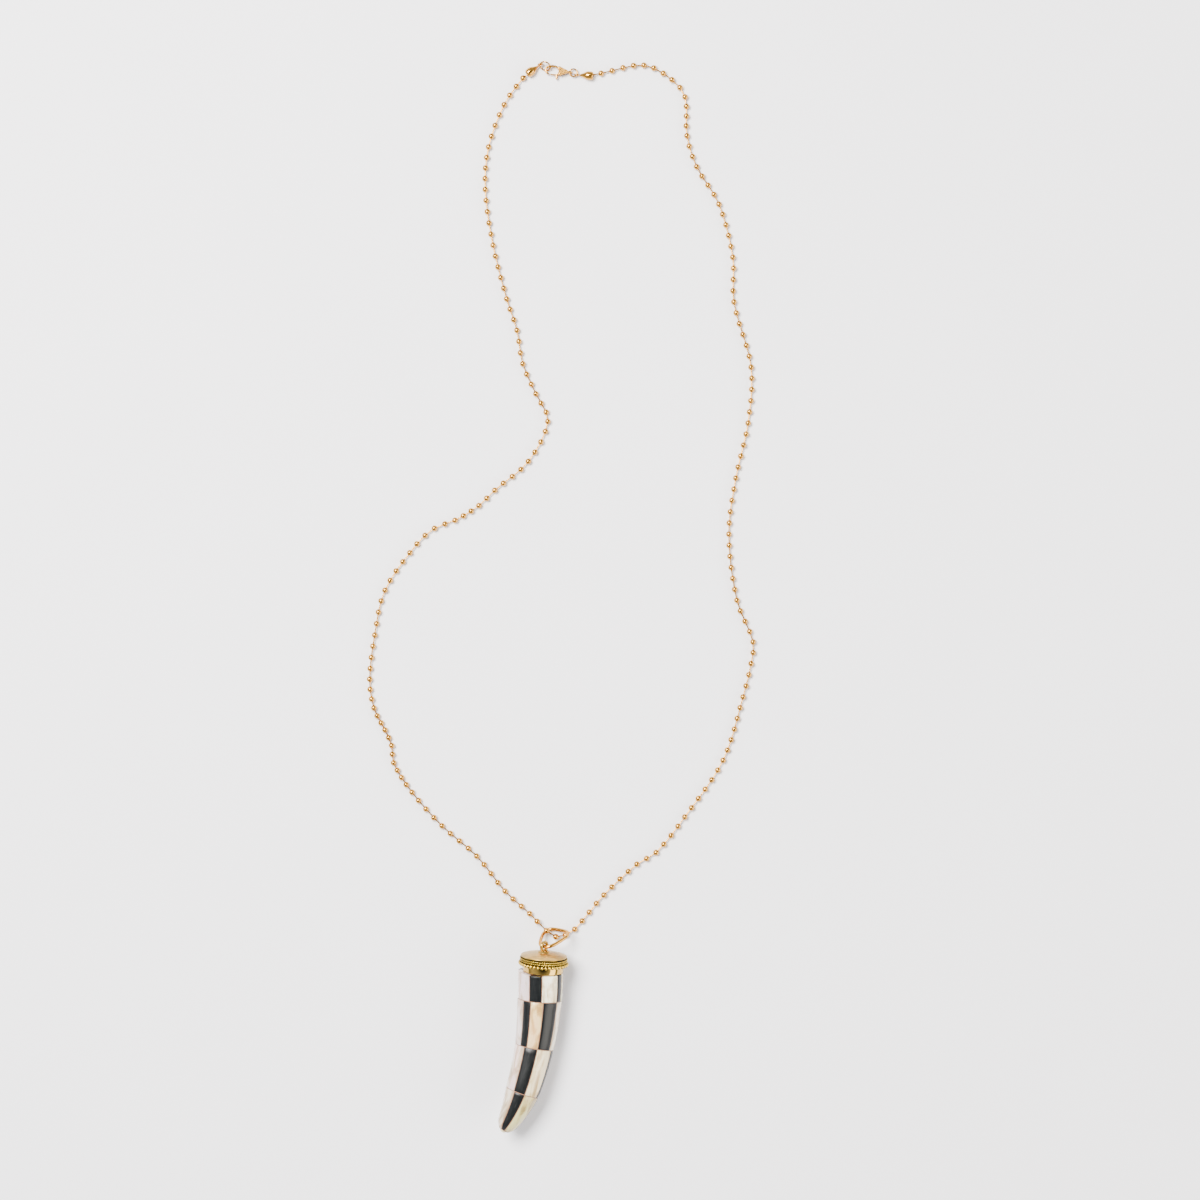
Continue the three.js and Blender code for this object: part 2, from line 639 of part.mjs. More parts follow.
function claspBodyGeometry() {
  const [a, b] = [hook_length / 2, hook_width / 2];
  const hook = new THREE.Shape();
  hook.absellipse(0, 0, a, b, 0, radians(hook_end), false);
  hook.absellipse(0, 0, a - hook_wire, b - hook_wire, radians(hook_end), 0, true);
  const flat = (points) => new THREE.Shape(points.map(([x, y]) => new THREE.Vector2(x, y)));
  const cheek = flat(cheek_outline.map(({ along, across }) => onClasp(along, across)).reverse());
  const swivel = new THREE.TorusGeometry(swivel_radius, swivel_wire / 2, ring_sides, ring_steps);
  swivel.rotateX(Math.PI / 2);
  swivel.translate(swivel_reach, 0, 0);
  const slot_height = lever_thickness + 2 * clasp_gap;
  const slot_end = disc(pivot_x, pivot_y, pivot_boss + clasp_gap, slot_height, cup_sides);
  const [front, back] = [pivot_x - slot_front, pivot_x + slot_back];
  const slot_way = extrudeFlat(flat([[front, pivot_y - slot_mouth], [back, pivot_y - slot_mouth],
    [back, pivot_y + pivot_boss + clasp_gap], [front, pivot_y + slot_rise]]), slot_height, 1);
  const pin = disc(pivot_x, pivot_y, pivot_pin / 2, body_thickness - clasp_gap, cup_sides);
  const cut = toSolid(slot_end).add(toSolid(slot_way));
  const cheeks = toSolid(extrudeFlat(cheek, body_thickness, 1));
  const body = toSolid(extrudeFlat(hook, hook_thickness, 9)).add(cheeks).subtract(cut);
  return toGeometry(body.add(toSolid(pin)).add(toSolid(swivel)));
}

function claspLeverGeometry() {
  const arm = barShape(arm_path.map(({ along, across }) => onClasp(along, across)), lever_width);
  const thumb = tab_path.map(({ along, drop }) => onClasp(along, tab_root, drop * lever_tab));
  const tab = barShape(thumb, lever_width);
  const boss = disc(pivot_x, pivot_y, pivot_boss, lever_thickness, cup_sides);
  const bore = disc(pivot_x, pivot_y, pivot_pin / 2 + clasp_gap, body_thickness, cup_sides);
  const flats = [arm, tab].map((shape) => toSolid(extrudeFlat(shape, lever_thickness, 1)));
  return toGeometry(flats[0].add(flats[1]).add(toSolid(boss)).subtract(toSolid(bore)));
}

function makeClasp() {
  const clasp = new THREE.Group();
  clasp.position.set(clasp_x, clasp_y, clasp_height);
  clasp.rotation.z = radians(-clasp_slope);
  clasp.add(piece("clasp_body", claspBodyGeometry(), "chain_gold"));
  clasp.add(piece("clasp_lever", claspLeverGeometry(), "chain_gold"));
  clasp.updateMatrixWorld(true);
  return clasp;
}

function makeNecklace() {
  const necklace = new THREE.Group();
  const pendant = makePendant();
  necklace.add(pendant, makeBail(pendant), makeClasp());
  necklace.add(piece("chain_left", chainRun(0, last_left_bead), "chain_gold"));
  const last = route[route.length - 1].bead;
  necklace.add(piece("chain_right", chainRun(last_left_bead + 1, last), "chain_gold"));
  necklace.add(makeCup("connector_left", 0, cup_left_turn, cup_left_roll));
  necklace.add(makeCup("connector_right", last, cup_right_turn, cup_right_roll));
  const right = new THREE.Vector3(ring_right_place.x, ring_right_place.y, clasp_height);
  necklace.add(makeRing("jump_ring_right", ring_right_radius, right, 0, 0));
  const left_height = ring_left_radius * Math.sin(radians(ring_left_tilt)) + ring_wire / 2;
  const left = new THREE.Vector3(ring_left_place.x, ring_left_place.y, left_height);
  necklace.add(makeRing("jump_ring_left", ring_left_radius, left, -ring_left_turn, ring_left_tilt));
  necklace.updateMatrixWorld(true);
  const box = new THREE.Box3().setFromObject(necklace, true);
  necklace.position.set(-(box.min.x + box.max.x) / 2, -(box.min.y + box.max.y) / 2, -box.min.z);
  return necklace;
}

export default makeNecklace();
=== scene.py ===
"""An inlaid horn pendant on a gold ball chain, laid out on a pale table."""
from math import atan2, cos, pi, radians, sin, sqrt

import bmesh
import bpy
from mathutils import Matrix, Vector


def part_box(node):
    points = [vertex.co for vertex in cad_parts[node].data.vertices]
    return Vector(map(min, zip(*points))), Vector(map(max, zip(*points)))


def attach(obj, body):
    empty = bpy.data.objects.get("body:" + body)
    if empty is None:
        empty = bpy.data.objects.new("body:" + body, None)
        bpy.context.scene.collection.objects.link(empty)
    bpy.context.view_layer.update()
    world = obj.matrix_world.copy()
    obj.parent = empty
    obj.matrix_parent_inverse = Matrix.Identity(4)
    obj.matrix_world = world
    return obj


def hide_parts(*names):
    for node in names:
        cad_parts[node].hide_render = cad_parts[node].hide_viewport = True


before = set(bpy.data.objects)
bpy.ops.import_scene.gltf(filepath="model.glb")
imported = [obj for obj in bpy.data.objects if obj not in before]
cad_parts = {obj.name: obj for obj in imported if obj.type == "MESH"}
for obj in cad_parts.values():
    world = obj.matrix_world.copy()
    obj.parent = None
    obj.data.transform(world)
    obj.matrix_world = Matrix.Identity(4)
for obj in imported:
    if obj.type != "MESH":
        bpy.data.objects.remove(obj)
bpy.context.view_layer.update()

bl_info = {
    "name": "Inlaid horn necklace",
    "version": (1, 0, 0),
    "blender": (4, 5, 0),
    "location": "3D View > Sidebar > Necklace",
    "description": "Makes an inlaid horn pendant with its brass cap, bail, ball chain and lobster clasp",
    "category": "Object",
}

MM = 0.001
UP = Vector((0, 0, 1))

# Where the laid-out necklace sits in the frame. Lengths here and below are millimetres, angles are degrees.
LAID_OUT = Vector((13.862, -1.792, 0.029))

# Laid-out route of the chain: bead number, place on the table, and how far that bead is lifted off it
ROUTE = (
    (0, -25.0, 190.1, 0.5), (1, -27.7, 187.9, 0), (4, -34.5, 178.3, 0), (8, -40.1, 163.1, 0),
    (12, -41.3, 147.8, 0), (17, -38.5, 127.7, 0), (22, -33.6, 108.4, 0), (25, -29.9, 97.1, 0),
    (28, -27.8, 85.0, 0), (31, -23.1, 74.2, 0), (34, -18.8, 64.3, 0), (38, -25.8, 49.9, 0),
    (42, -37.9, 39.5, 0), (44, -43.6, 34.0, 0), (47, -52.2, 28.7, 0), (49, -59.6, 25.8, 0),
    (51, -65.9, 20.2, 0), (56, -77.4, 3.5, 0), (60, -81.1, -12.6, 0), (64, -82.9, -28.5, 0),
    (67, -81.4, -38.9, 0), (70, -77.4, -46.8, 0), (72, -75.0, -52.4, 0), (74, -74.3, -58.6, 0),
    (78, -67.7, -69.2, 0), (82, -56.9, -81.3, 0), (86, -44.4, -92.2, 0), (90, -34.2, -104.8, 0),
    (93, -25.3, -112.9, 0.2), (94, -22.6, -115.6, 0.9), (95, -19.2, -118.8, 2.2), (96, -15.9, -121.2, 0.3),
    (97, -12.4, -120.6, 0), (98, -9.1, -118.5, 0), (102, 1.4, -106.2, 0), (106, 13.3, -95.1, 0),
    (108, 20.2, -90.9, 0), (112, 30.5, -78.1, 0), (118, 44.3, -57.7, 0), (124, 51.5, -34.9, 0),
    (127, 54.4, -22.9, 0), (129, 55.1, -15.1, 0), (133, 49.3, -0.1, 0), (139, 46.4, 23.7, 0),
    (144, 48.9, 43.9, 0), (149, 53.3, 63.7, 0), (154, 54.4, 83.8, 0), (160, 48.2, 107.3, 0),
    (164, 47.8, 123.4, 0), (169, 42.8, 142.5, 0), (173, 34.8, 156.0, 0), (176, 31.3, 167.1, 0),
    (180, 30.6, 181.1, 0), (182, 25.9, 187.3, 0), (185, 15.8, 192.5, 0), (189, 0.4, 189.6, 0),
    (190, -4.0, 188.7, 0.5),
)

# Horn: stretches from the cap to the tip, as tier, length share, end radius share, swing and rise
HORN_LENGTH = 59.8
HORN_RADIUS = 8.3
HORN_OFFSET = 0.95
STRETCHES = (
    (1, 0.172, 0.965, -1.6, 2.5), (2, 0.284, 0.845, 3.6, 6.5), (3, 0.280, 0.735, 12.1, 8),
    (4, 0.140, 0.560, 21, 8.5), (4, 0.080, 0.400, 27, 8.5), (4, 0.030, 0.230, 30, 8.5),
)
HORN_STEPS = 8
HORN_SIDES = 144
TIP_SHARE = 0.62
TIP_SEAT = 0.1
TILE_THICKNESS = 1.4
TILE_SHARE = 0.45
TILE_SEAT = 0.3
TILE_EDGE = 0.16
TILE_FLATNESS = 0.25
TILE_FACET = 6
RESIN_DEPTH = 0.1

# Tiles: number in each tier, and the joints that face up as angles from straight up, to the right positive
TIERS = (
    (1, 10, (-104, -27, 6, 50, 69)), (2, 10, (-85, -46, -22, 11, 53, 92)),
    (3, 8, (-96, -30, 11, 63, 97)), (4, 8, (-96, -27, 11, 80, 112)),
)

# Cap, from the sleeve's lower edge up its axis
SLEEVE_RADIUS = 7.3
SLEEVE_WALL = 0.9
SLEEVE_HEIGHT = 2.2
ROPE_RING = 8.2
ROPE_WIRE = 0.76
GRANULES = 39
GRANULE_DIAMETER = 1.3
GRANULE_RING = 8.4
DISC_RADIUS = 8.25
DISC_THICKNESS = 0.4
GROOVE_HEIGHT = 0.3
DOME_HEIGHT = 1.2
COLLAR_RADIUS = 2.4
COLLAR_HEIGHT = 1.0
COLLAR_SINK = 0.35
COLLAR_ROUNDING = 0.35
EYE_WIRE = 1.2
EYE_RADIUS = 1.5
EYE_RISE = 2.0
EYE_TURN = 42

# How far the pendant's cap end rises and the pendant leans, and how far the clasp turns on the table
PENDANT_RISE = 5.5
PENDANT_LEAN = -3
CLASP_TURN = -6

# Bail: how it drops, rolls and swings about the eye, its size, and its outline as shares of half its width
# and of its height from the eye
BAIL_DROP = -45
BAIL_ROLL = -50.5
BAIL_SWING = -47
BAIL_WIDTH = 9.8
BAIL_HEIGHT = 10.25
BAIL_OUTLINE = (
    (0, 0), (0.4, 0.05), (0.63, 0.2), (0.85, 0.46), (0.97, 0.72), (0.82, 0.94), (0.42, 1),
    (-0.42, 1), (-0.82, 0.94), (-0.97, 0.72), (-0.85, 0.46), (-0.63, 0.2), (-0.4, 0.05),
)


def turned_to(place, x, y, z):
    """Matrix of a place in millimetres, turned about Y, then X, then Z."""
    return (Matrix.Translation(place) @ Matrix.Rotation(radians(z), 4, "Z")
            @ Matrix.Rotation(radians(x), 4, "X") @ Matrix.Rotation(radians(y), 4, "Y"))


GROOVE_TOP = SLEEVE_HEIGHT + GRANULE_DIAMETER + 2 * ROPE_WIRE + GROOVE_HEIGHT
CAP_TOP = GROOVE_TOP + DISC_THICKNESS + DOME_HEIGHT
EYE_HEIGHT = CAP_TOP + EYE_RISE
PENDANT = turned_to((-6.488, -134.292, 8.827), PENDANT_RISE, 0, PENDANT_LEAN)
BAIL = turned_to(PENDANT @ Vector((0, EYE_HEIGHT, 0)), BAIL_DROP, BAIL_ROLL, BAIL_SWING)
CLASP = turned_to((-3.128, 188.788, 1.329), 0, 0, CLASP_TURN)
CAP_AXIS = PENDANT @ Matrix.Rotation(-pi / 2, 4, "X")


def from_hex(text):
    """Linear colour of an sRGB hex value."""
    parts = [int(text[i:i + 2], 16) / 255 for i in (1, 3, 5)]
    return tuple(p / 12.92 if p <= 0.04045 else ((p + 0.055) / 1.055) ** 2.4 for p in parts)


def colour(name, text, description):
    return bpy.props.FloatVectorProperty(
        name=name, description=description, subtype="COLOR", size=3, min=0, max=1, default=from_hex(text))


def length(name, size, description):
    return bpy.props.FloatProperty(
        name=name, description=description, default=size * MM, min=0, precision=5, unit="LENGTH")


class NecklaceSizes(bpy.types.PropertyGroup):
    """Sizes that a user would change"""
    ball: length("Ball", 2.2, "Diameter of a ball of the chain")
    link_wire: length("Link wire", 0.5, "Thickness of the wire between two balls")
    bail_wire: length("Bail wire", 1.3, "Thickness of the bail's wire")
    ring_wire: length("Jump ring wire", 0.56, "Thickness of the jump rings' wire")
    rope_wire: length("Rope", ROPE_WIRE, "Thickness of one row of twisted wire on the cap")
    granule: length("Granule", GRANULE_DIAMETER, "Diameter of a granule on the cap")
    # The real wire is twisted about 44 times; drawn coarser, so that the twist shows at the picture's size
    rope_turns: bpy.props.IntProperty(
        name="Rope turns", description="Turns of the twisted wire round the cap", default=33, min=4)


class NecklaceColours(bpy.types.PropertyGroup):
    """Colours that a user would change"""
    gold: colour("Chain gold", "#C9923F", "Gold plate of the chain, bail and clasp")
    brass: colour("Cap brass", "#C6A04E", "Brass of the cap")
    # This dark tarnish colour also serves as painted shade: the cap's groove and the dark side of its wires
    # and grains are painted with it
    tarnish: colour("Tarnish", "#1C1504", "Dark tarnish in the cap's grooves")
    black: colour("Black tile", "#0C0F10", "Black tiles")
    pearl: colour("Pearl tile", "#E9DDC8", "Mother-of-pearl tiles")
    resin: colour("Joint resin", "#7E5A44", "Resin in the joints between tiles")
    table: colour("Table", "#F4F4F8", "Table top")


def sizes():
    return bpy.context.scene.necklace_sizes


def colours():
    return bpy.context.scene.necklace_colours


# Materials

def feed(tree, node, inputs):
    """Sets inputs of a node. Each is a socket, a node that gives its first output in use, or a value."""
    for name, value in inputs.items():
        if isinstance(value, bpy.types.Node):
            value = next(socket for socket in value.outputs if socket.enabled)
        if isinstance(value, bpy.types.NodeSocket):
            tree.links.new(value, node.inputs[name])
        else:
            node.inputs[name].default_value = value


def put(tree, kind, inputs=None, **settings):
    """Adds a node with its settings and inputs. A kind without a family is a shader node."""
    node = tree.nodes.new(kind if "Node" in kind else "ShaderNode" + kind)
    for name, value in settings.items():
        setattr(node, name, value)
    feed(tree, node, inputs or {})
    return node


def rgba(value):
    return (*tuple(value)[:3], 1)


def ramp(tree, factor, stops):
    """A colour ramp with the given stops, as place and linear colour."""
    node = put(tree, "ValToRGB", {"Fac": factor})
    elements = node.color_ramp.elements
    while len(elements) < len(stops):
        elements.new(0.5)
    for element, (place, value) in zip(elements, stops):
        element.position = place
        element.color = rgba(value)
    return node.outputs["Color"]


def shade(value, factor):
    return tuple(c * factor for c in tuple(value)[:3])


def new_material(name):
    """An empty material with a Principled shader linked to its output."""
    material = bpy.data.materials.new(name)
    material.use_nodes = True
    tree = material.node_tree
    tree.nodes.clear()
    shader = put(tree, "BsdfPrincipled")
    put(tree, "OutputMaterial", {"Surface": shader.outputs["BSDF"]})
    return material, tree, shader


def surface(tree, shader, tint, gloss=None, relief=None, **inputs):
    """Sets the shader. Tint is a node, or a pattern and its colour stops. Gloss is a pattern with the
    roughness at its low and high end, relief a pattern with its strength and its height in millimetres."""
    inputs["Base_Color"] = ramp(tree, *tint) if isinstance(tint, tuple) else tint
    if gloss:
        inputs["Roughness"] = put(tree, "MapRange", {
            "Value": gloss[0], "To Min": gloss[1], "To Max": gloss[2]})
    if relief:
        inputs["Normal"] = put(tree, "Bump", {
            "Height": relief[0], "Strength": relief[1], "Distance": relief[2] * MM})
    feed(tree, shader, {name.replace("_", " "): value for name, value in inputs.items()})


def per_mm(size):
    """Texture scale that makes one feature of this size in millimetres on metre coordinates."""
    return 1 / (size * MM)


def pendant_coords(tree):
    """Object coordinates seen from the sleeve's lower edge, with the cap's axis along Y."""
    coords = put(tree, "TexCoord").outputs["Object"]
    turn = (radians(PENDANT_RISE), 0, radians(PENDANT_LEAN))
    return put(tree, "Mapping", {
        "Vector": coords, "Location": PENDANT.to_translation() * MM, "Rotation": turn}, vector_type="TEXTURE")


def clouded(name, size, detail, stops, **inputs):
    """A material of two tones that drift in clouds of this size in millimetres."""
    material, tree, shader = new_material(name)
    coords = put(tree, "TexCoord").outputs["Object"]
    cloud = put(tree, "TexNoise", {"Vector": coords, "Scale": per_mm(size), "Detail": detail})
    surface(tree, shader, (cloud, stops), **inputs)
    return material


def gold_plate():
    """Gold plate over brass, tumbled bright: warm rose gold with sharp highlights and a faint orange peel."""
    material, tree, shader = new_material("gold_plate_polished")
    gold = colours().gold
    coords = put(tree, "TexCoord").outputs["Object"]
    cloud = put(tree, "TexNoise", {
        "Vector": coords, "Scale": per_mm(3), "Detail": 3.0, "Roughness": 0.6})
    peel = put(tree, "TexNoise", {"Vector": coords, "Scale": per_mm(0.5), "Detail": 2.0})
    surface(tree, shader, (cloud, ((0.3, shade(gold, 0.86)), (0.7, gold))),
            (peel, 0.12, 0.24), (peel, 0.12, 0.02), Metallic=1.0)
    return material


def satin_brass():
    """Brass sheet rubbed with fine abrasive: soft pinkish tan-gold with faint straight scratches."""
    material, tree, shader = new_material("satin_brass_sheet")
    brass = colours().brass
    coords = pendant_coords(tree)
    stretched = put(tree, "Mapping", {
        "Vector": coords, "Scale": (1, 1, 14), "Rotation": (0, radians(20), 0)})
    scratch = put(tree, "TexNoise", {
        "Vector": stretched, "Scale": per_mm(3.5), "Detail": 5.0, "Roughness": 0.7})
    cloud = put(tree, "TexNoise", {"Vector": coords, "Scale": per_mm(4), "Detail": 2.0})
    surface(tree, shader, (cloud, ((0.35, shade(brass, 0.6)), (0.65, shade(brass, 0.95)))),
            (scratch, 0.24, 0.5), (scratch, 0.25, 0.03), Metallic=1.0)
    return material


def mirror_brass():
    """The sleeve's brass strip, burnished: greenish gold and mirror-like, with fine marks round it."""
    material, tree, shader = new_material("mirror_brass_sleeve")
    brass = colours().brass
    stretched = put(tree, "Mapping", {"Vector": pendant_coords(tree), "Scale": (1, 20, 1)})
    marks = put(tree, "TexNoise", {"Vector": stretched, "Scale": per_mm(3), "Detail": 3.0})
    surface(tree, shader, (marks, ((0.35, shade(brass, 0.9)), (0.65, brass))), (marks, 0.05, 0.14),
            Metallic=1.0)
    return material


def tarnish_and_painted_light_brass(name, dark, highlight_from):
    """Brass darkened to olive up to one distance from the cap's axis, partly tarnish and partly painted shade
    between the wires and grains, and lightened beyond another into a painted highlight on their outer faces.
    """
    material, tree, shader = new_material(name)
    brass, tarnish = colours().brass, colours().tarnish
    coords = pendant_coords(tree)
    parts = put(tree, "SeparateXYZ", {"Vector": coords})
    flat = put(tree, "CombineXYZ", {"X": parts.outputs["X"], "Y": parts.outputs["Z"]})
    reach = put(tree, "VectorMath", {0: flat}, operation="LENGTH")
    grime = put(tree, "TexNoise", {"Vector": coords, "Scale": per_mm(0.8), "Detail": 2.0})
    # Painted light: darker towards the cap's axis (partly tarnish, partly painted shade between the wires and
    # grains) and lighter outwards
    level = put(tree, "MapRange", {"Value": reach, "From Min": dark * MM, "From Max": highlight_from * MM})
    worn = put(tree, "MapRange", {
        "Value": grime, "From Min": 0.3, "From Max": 0.7, "To Min": 0.8, "To Max": 1.1})
    level = put(tree, "Math", {0: level, 1: worn}, operation="MULTIPLY")
    # A painted highlight on the outer faces: lighter and yellower than the brass
    bright = tuple(min(1, c * k) for c, k in zip(tuple(brass), (1.3, 1.35, 0.8)))
    surface(tree, shader, (level, ((0.1, tarnish), (0.85, bright))), (level, 0.6, 0.15), Metallic=1.0)
    return material


def tarnish_and_painted_light_rope():
    """Twisted brass wire, dark between the strands from tarnish and painted shade, with a painted highlight
    on its outer side.
    """
    return tarnish_and_painted_light_brass("tarnished_brass_rope_with_painted_light", ROPE_RING + 0.14, ROPE_RING + 0.38)


def tarnish_and_painted_light_grain():
    """Brass grains, dark between them from tarnish and painted shade, and bright on their outer faces as a
    painted highlight.
    """
    return tarnish_and_painted_light_brass("tarnished_brass_grain_with_painted_light", GRANULE_RING + 0.1, GRANULE_RING + 0.6)


def aged_brass():
    """Handled brass of the collar and eye: yellow olive, darker in cloudy patches, with soft highlights."""
    material, tree, shader = new_material("aged_brass_solder_work")
    brass, tarnish = colours().brass, colours().tarnish
    cloud = put(tree, "TexNoise", {
        "Vector": pendant_coords(tree), "Scale": per_mm(1.6), "Detail": 3.0})
    dull = tuple(0.55 * b + 0.45 * t for b, t in zip(tuple(brass), tuple(tarnish)))
    surface(tree, shader, (cloud, ((0.4, dull), (0.6, shade(brass, 0.9)))), (cloud, 0.4, 0.15), Metallic=1.0)
    return material


def tarnish_and_painted_shade_groove():
    """Brass in the grooves behind the wires, dull dark olive: partly tarnish, partly painted shade."""
    tarnish = colours().tarnish
    stops = ((0.35, shade(tarnish, 0.5)), (0.7, shade(tarnish, 1.4)))
    return clouded("tarnished_brass_groove_with_painted_shade", 1.2, 4.0, stops, Metallic=0.8, Roughness=0.6)


def black_tile():
    """Black horn, sliced and polished: satin, with fine lengthwise fibres that catch a brownish grey."""
    material, tree, shader = new_material("polished_black_horn")
    black = colours().black
    grain = put(tree, "Attribute", attribute_name="grain").outputs["Vector"]
    long = put(tree, "Mapping", {"Vector": grain, "Scale": (1, 0.06, 1)})
    fibre = put(tree, "TexNoise", {
        "Vector": long, "Scale": per_mm(0.45), "Detail": 4.0, "Roughness": 0.65})
    cross = put(tree, "Mapping", {"Vector": grain, "Scale": (0.15, 1, 1)})
    nick = put(tree, "TexNoise", {"Vector": cross, "Scale": per_mm(0.6), "Detail": 3.0})
    both = put(tree, "Math", {0: fibre, 1: nick}, operation="MULTIPLY")
    stops = ((0.35, shade(black, 0.6)), (0.55, black), (0.75, from_hex("#242422")))
    surface(tree, shader, (fibre, stops), (both, 0.25, 0.5), (fibre, 0.12, 0.02),
            IOR=1.54, Specular_IOR_Level=0.26)
    return material


def pearl_tile():
    """Polished mother-of-pearl: cream with silky bands, and pink and green lights that drift across."""
    material, tree, shader = new_material("mother_of_pearl")
    grain = put(tree, "Attribute", attribute_name="grain").outputs["Vector"]
    # Each tile's tone: painted shade on the left-hand tiles and a painted reflection on tile 3 of tier 1, the
    # pearl's own tint elsewhere
    own = put(tree, "Attribute", attribute_name="tone").outputs["Color"]
    long = put(tree, "Mapping", {"Vector": grain, "Scale": (1, 0.28, 1)})
    silk = put(tree, "TexNoise", {
        "Vector": long, "Scale": per_mm(2.8), "Detail": 4.0, "Roughness": 0.55,
        "Distortion": 0.7})
    drift = put(tree, "TexNoise", {
        "Vector": long, "Scale": per_mm(6), "Detail": 2.0, "Distortion": 0.4}).outputs["Color"]
    lights = put(tree, "HueSaturation", {"Saturation": 0.8, "Value": 1.3, "Color": drift})
    veil = put(tree, "Mix", {0: 0.3, 6: own, 7: lights}, data_type="RGBA", blend_type="OVERLAY")
    bands = ramp(tree, silk, ((0.38, from_hex("#A98E62")), (0.47, from_hex("#DCCBAE")), (0.55, (1, 1, 1))))
    tint = put(tree, "Mix", {0: 0.8, 6: veil, 7: bands}, data_type="RGBA", blend_type="MULTIPLY")
    surface(tree, shader, tint, (silk, 0.14, 0.34), IOR=1.6, Coat_Weight=0.4, Coat_Roughness=0.08)
    return material


def joint_resin():
    """Cast resin in the joints: reddish brown and slightly dull, sanded flush."""
    resin = colours().resin
    stops = ((0.3, shade(resin, 0.75)), (0.7, shade(resin, 1.25)))
    return clouded("cast_joint_resin", 1.5, 3.0, stops, Roughness=0.5, IOR=1.52)


def ivory_tip():
    """The bare tip of the horn: yellowish ivory, smoothed by handling."""
    stops = ((0.3, from_hex("#C9B98A")), (0.7, from_hex("#E9DDB8")))
    return clouded("bare_ivory_horn_tip", 0.8, 3.0, stops, Roughness=0.4, IOR=1.54)


def table_paper():
    """Matt pale paper: almost white, without gloss."""
    table = colours().table
    stops = ((0.3, shade(table, 0.985)), (0.7, table))
    return clouded("matt_pale_paper", 60, 2.0, stops, Roughness=0.9, Specular_IOR_Level=0.1)


# Finishes: their makers and the slots that they stand for
FINISHES = {
    "gold": (gold_plate, "chain_gold"),
    "satin": (satin_brass, "cap_brass"), "mirror": (mirror_brass, "cap_brass"),
    "rope": (tarnish_and_painted_light_rope, "cap_brass"), "grain": (tarnish_and_painted_light_grain, "cap_brass"),
    "aged": (aged_brass, "cap_brass"), "groove": (tarnish_and_painted_shade_groove, "cap_brass"),
    "black": (black_tile, "black_tile"), "pearl": (pearl_tile, "pearl_tile"),
    "resin": (joint_resin, "joint_resin"), "tip": (ivory_tip, "joint_resin"),
}
made_materials = {}


def finish_of(key):
    """The material of this key, made when first asked for."""
    if key not in made_materials:
        made_materials[key] = FINISHES[key][0]()
    return made_materials[key]


# Shapes

# A turned profile is on the axis below this radius in millimetres, and doubles lie within this many metres
ON_AXIS = 1e-6
DOUBLES = 1e-7


def loft(rings, closed=False):
    """Joins rings of equally many points into a skin, closed into a loop or with flat ends."""
    count = len(rings[0])
    points = [point for ring in rings for point in ring]
    faces = []
    for i in range(len(rings) if closed else len(rings) - 1):
        a, b = i * count, (i + 1) % len(rings) * count
        for j in range(count):
            k = (j + 1) % count
            faces.append((a + j, a + k, b + k, b + j))
    if not closed:
        last = (len(rings) - 1) * count
        faces += [tuple(range(count))[::-1], tuple(range(last, last + count))]
    return points, faces


def oval(width, thickness, sides, power=2.0):
    """Section outline as offsets to the side and up. A power above 2 makes it squarer."""
    outline = []
    for j in range(sides):
        c, s = cos(2 * pi * j / sides), sin(2 * pi * j / sides)
        outline.append((width / 2 * abs(c) ** (2 / power) * (1 if c >= 0 else -1),
                        thickness / 2 * abs(s) ** (2 / power) * (1 if s >= 0 else -1)))
    return outline


def neighbours(items, closed=False):
    """Each item between the one before and the one after it. An open row ends on itself."""
    around = [items[-1], *items, items[0]] if closed else [items[0], *items, items[-1]]
    return zip(around, around[1:], around[2:])


def swept(path, section, closed=False):
    """Carries a section along a path in the XY plane. The section may depend on the share of the way."""
    rings = []
    for i, (before, place, after) in enumerate(neighbours(path, closed)):
        along = (after - before).normalized()
        side = along.cross(UP).normalized()
        level = side.cross(along)
        outline = section(i / (len(path) - 1)) if callable(section) else section
        rings.append([place + side * u + level * v for u, v in outline])
    return loft(rings, closed)


def curve_through(points, steps, closed=False):
    """Smooth centripetal curve through points, with this many steps between two of them."""
    if closed:
        around = [points[-1], *points, points[0], points[1]]
    else:
        around = [2 * points[0] - points[1], *points, 2 * points[-1] - points[-2]]
    places = []
    for four in zip(around, around[1:], around[2:], around[3:]):
        knots = [0.0]
        for a, b in zip(four, four[1:]):
            knots.append(knots[-1] + sqrt((b - a).length))
        for step in range(steps):
            t = knots[1] + (knots[2] - knots[1]) * step / steps
            row = four
            for low, high in ((0, 1), (0, 2), (1, 2)):
                row = [a + (b - a) * ((t - knots[k + low]) / (knots[k + high] - knots[k + low]))
                       for k, (a, b) in enumerate(zip(row, row[1:]))]
            places.append(row[0])
    return places if closed else [*places, points[-1].copy()]


def flat(corners):
    return [Vector((x, y, 0)) for x, y in corners]


def on_circle(radius, angle, height=0.0):
    return Vector((radius * cos(angle), radius * sin(angle), height))


def hoop(radius, wire, steps, sides):
    """A closed ring of round wire."""
    path = [on_circle(radius, 2 * pi * i / steps) for i in range(steps)]
    return swept(path, oval(wire, wire, sides), closed=True)


def rounded(profile, radius, steps=3):
    """Rounds the corners of a profile by up to this radius."""
    corners = [Vector(point) for point in profile]
    result = [corners[0]]
    for before, corner, after in zip(corners, corners[1:], corners[2:]):
        back, ahead = before - corner, after - corner
        cut = min(radius, 0.45 * back.length, 0.45 * ahead.length)
        start, end = corner + back.normalized() * cut, corner + ahead.normalized() * cut
        for i in range(steps + 1):
            t = i / steps
            result.append(start * (1 - t) ** 2 + corner * 2 * t * (1 - t) + end * t ** 2)
    result.append(corners[-1])
    return [tuple(point) for point in result]


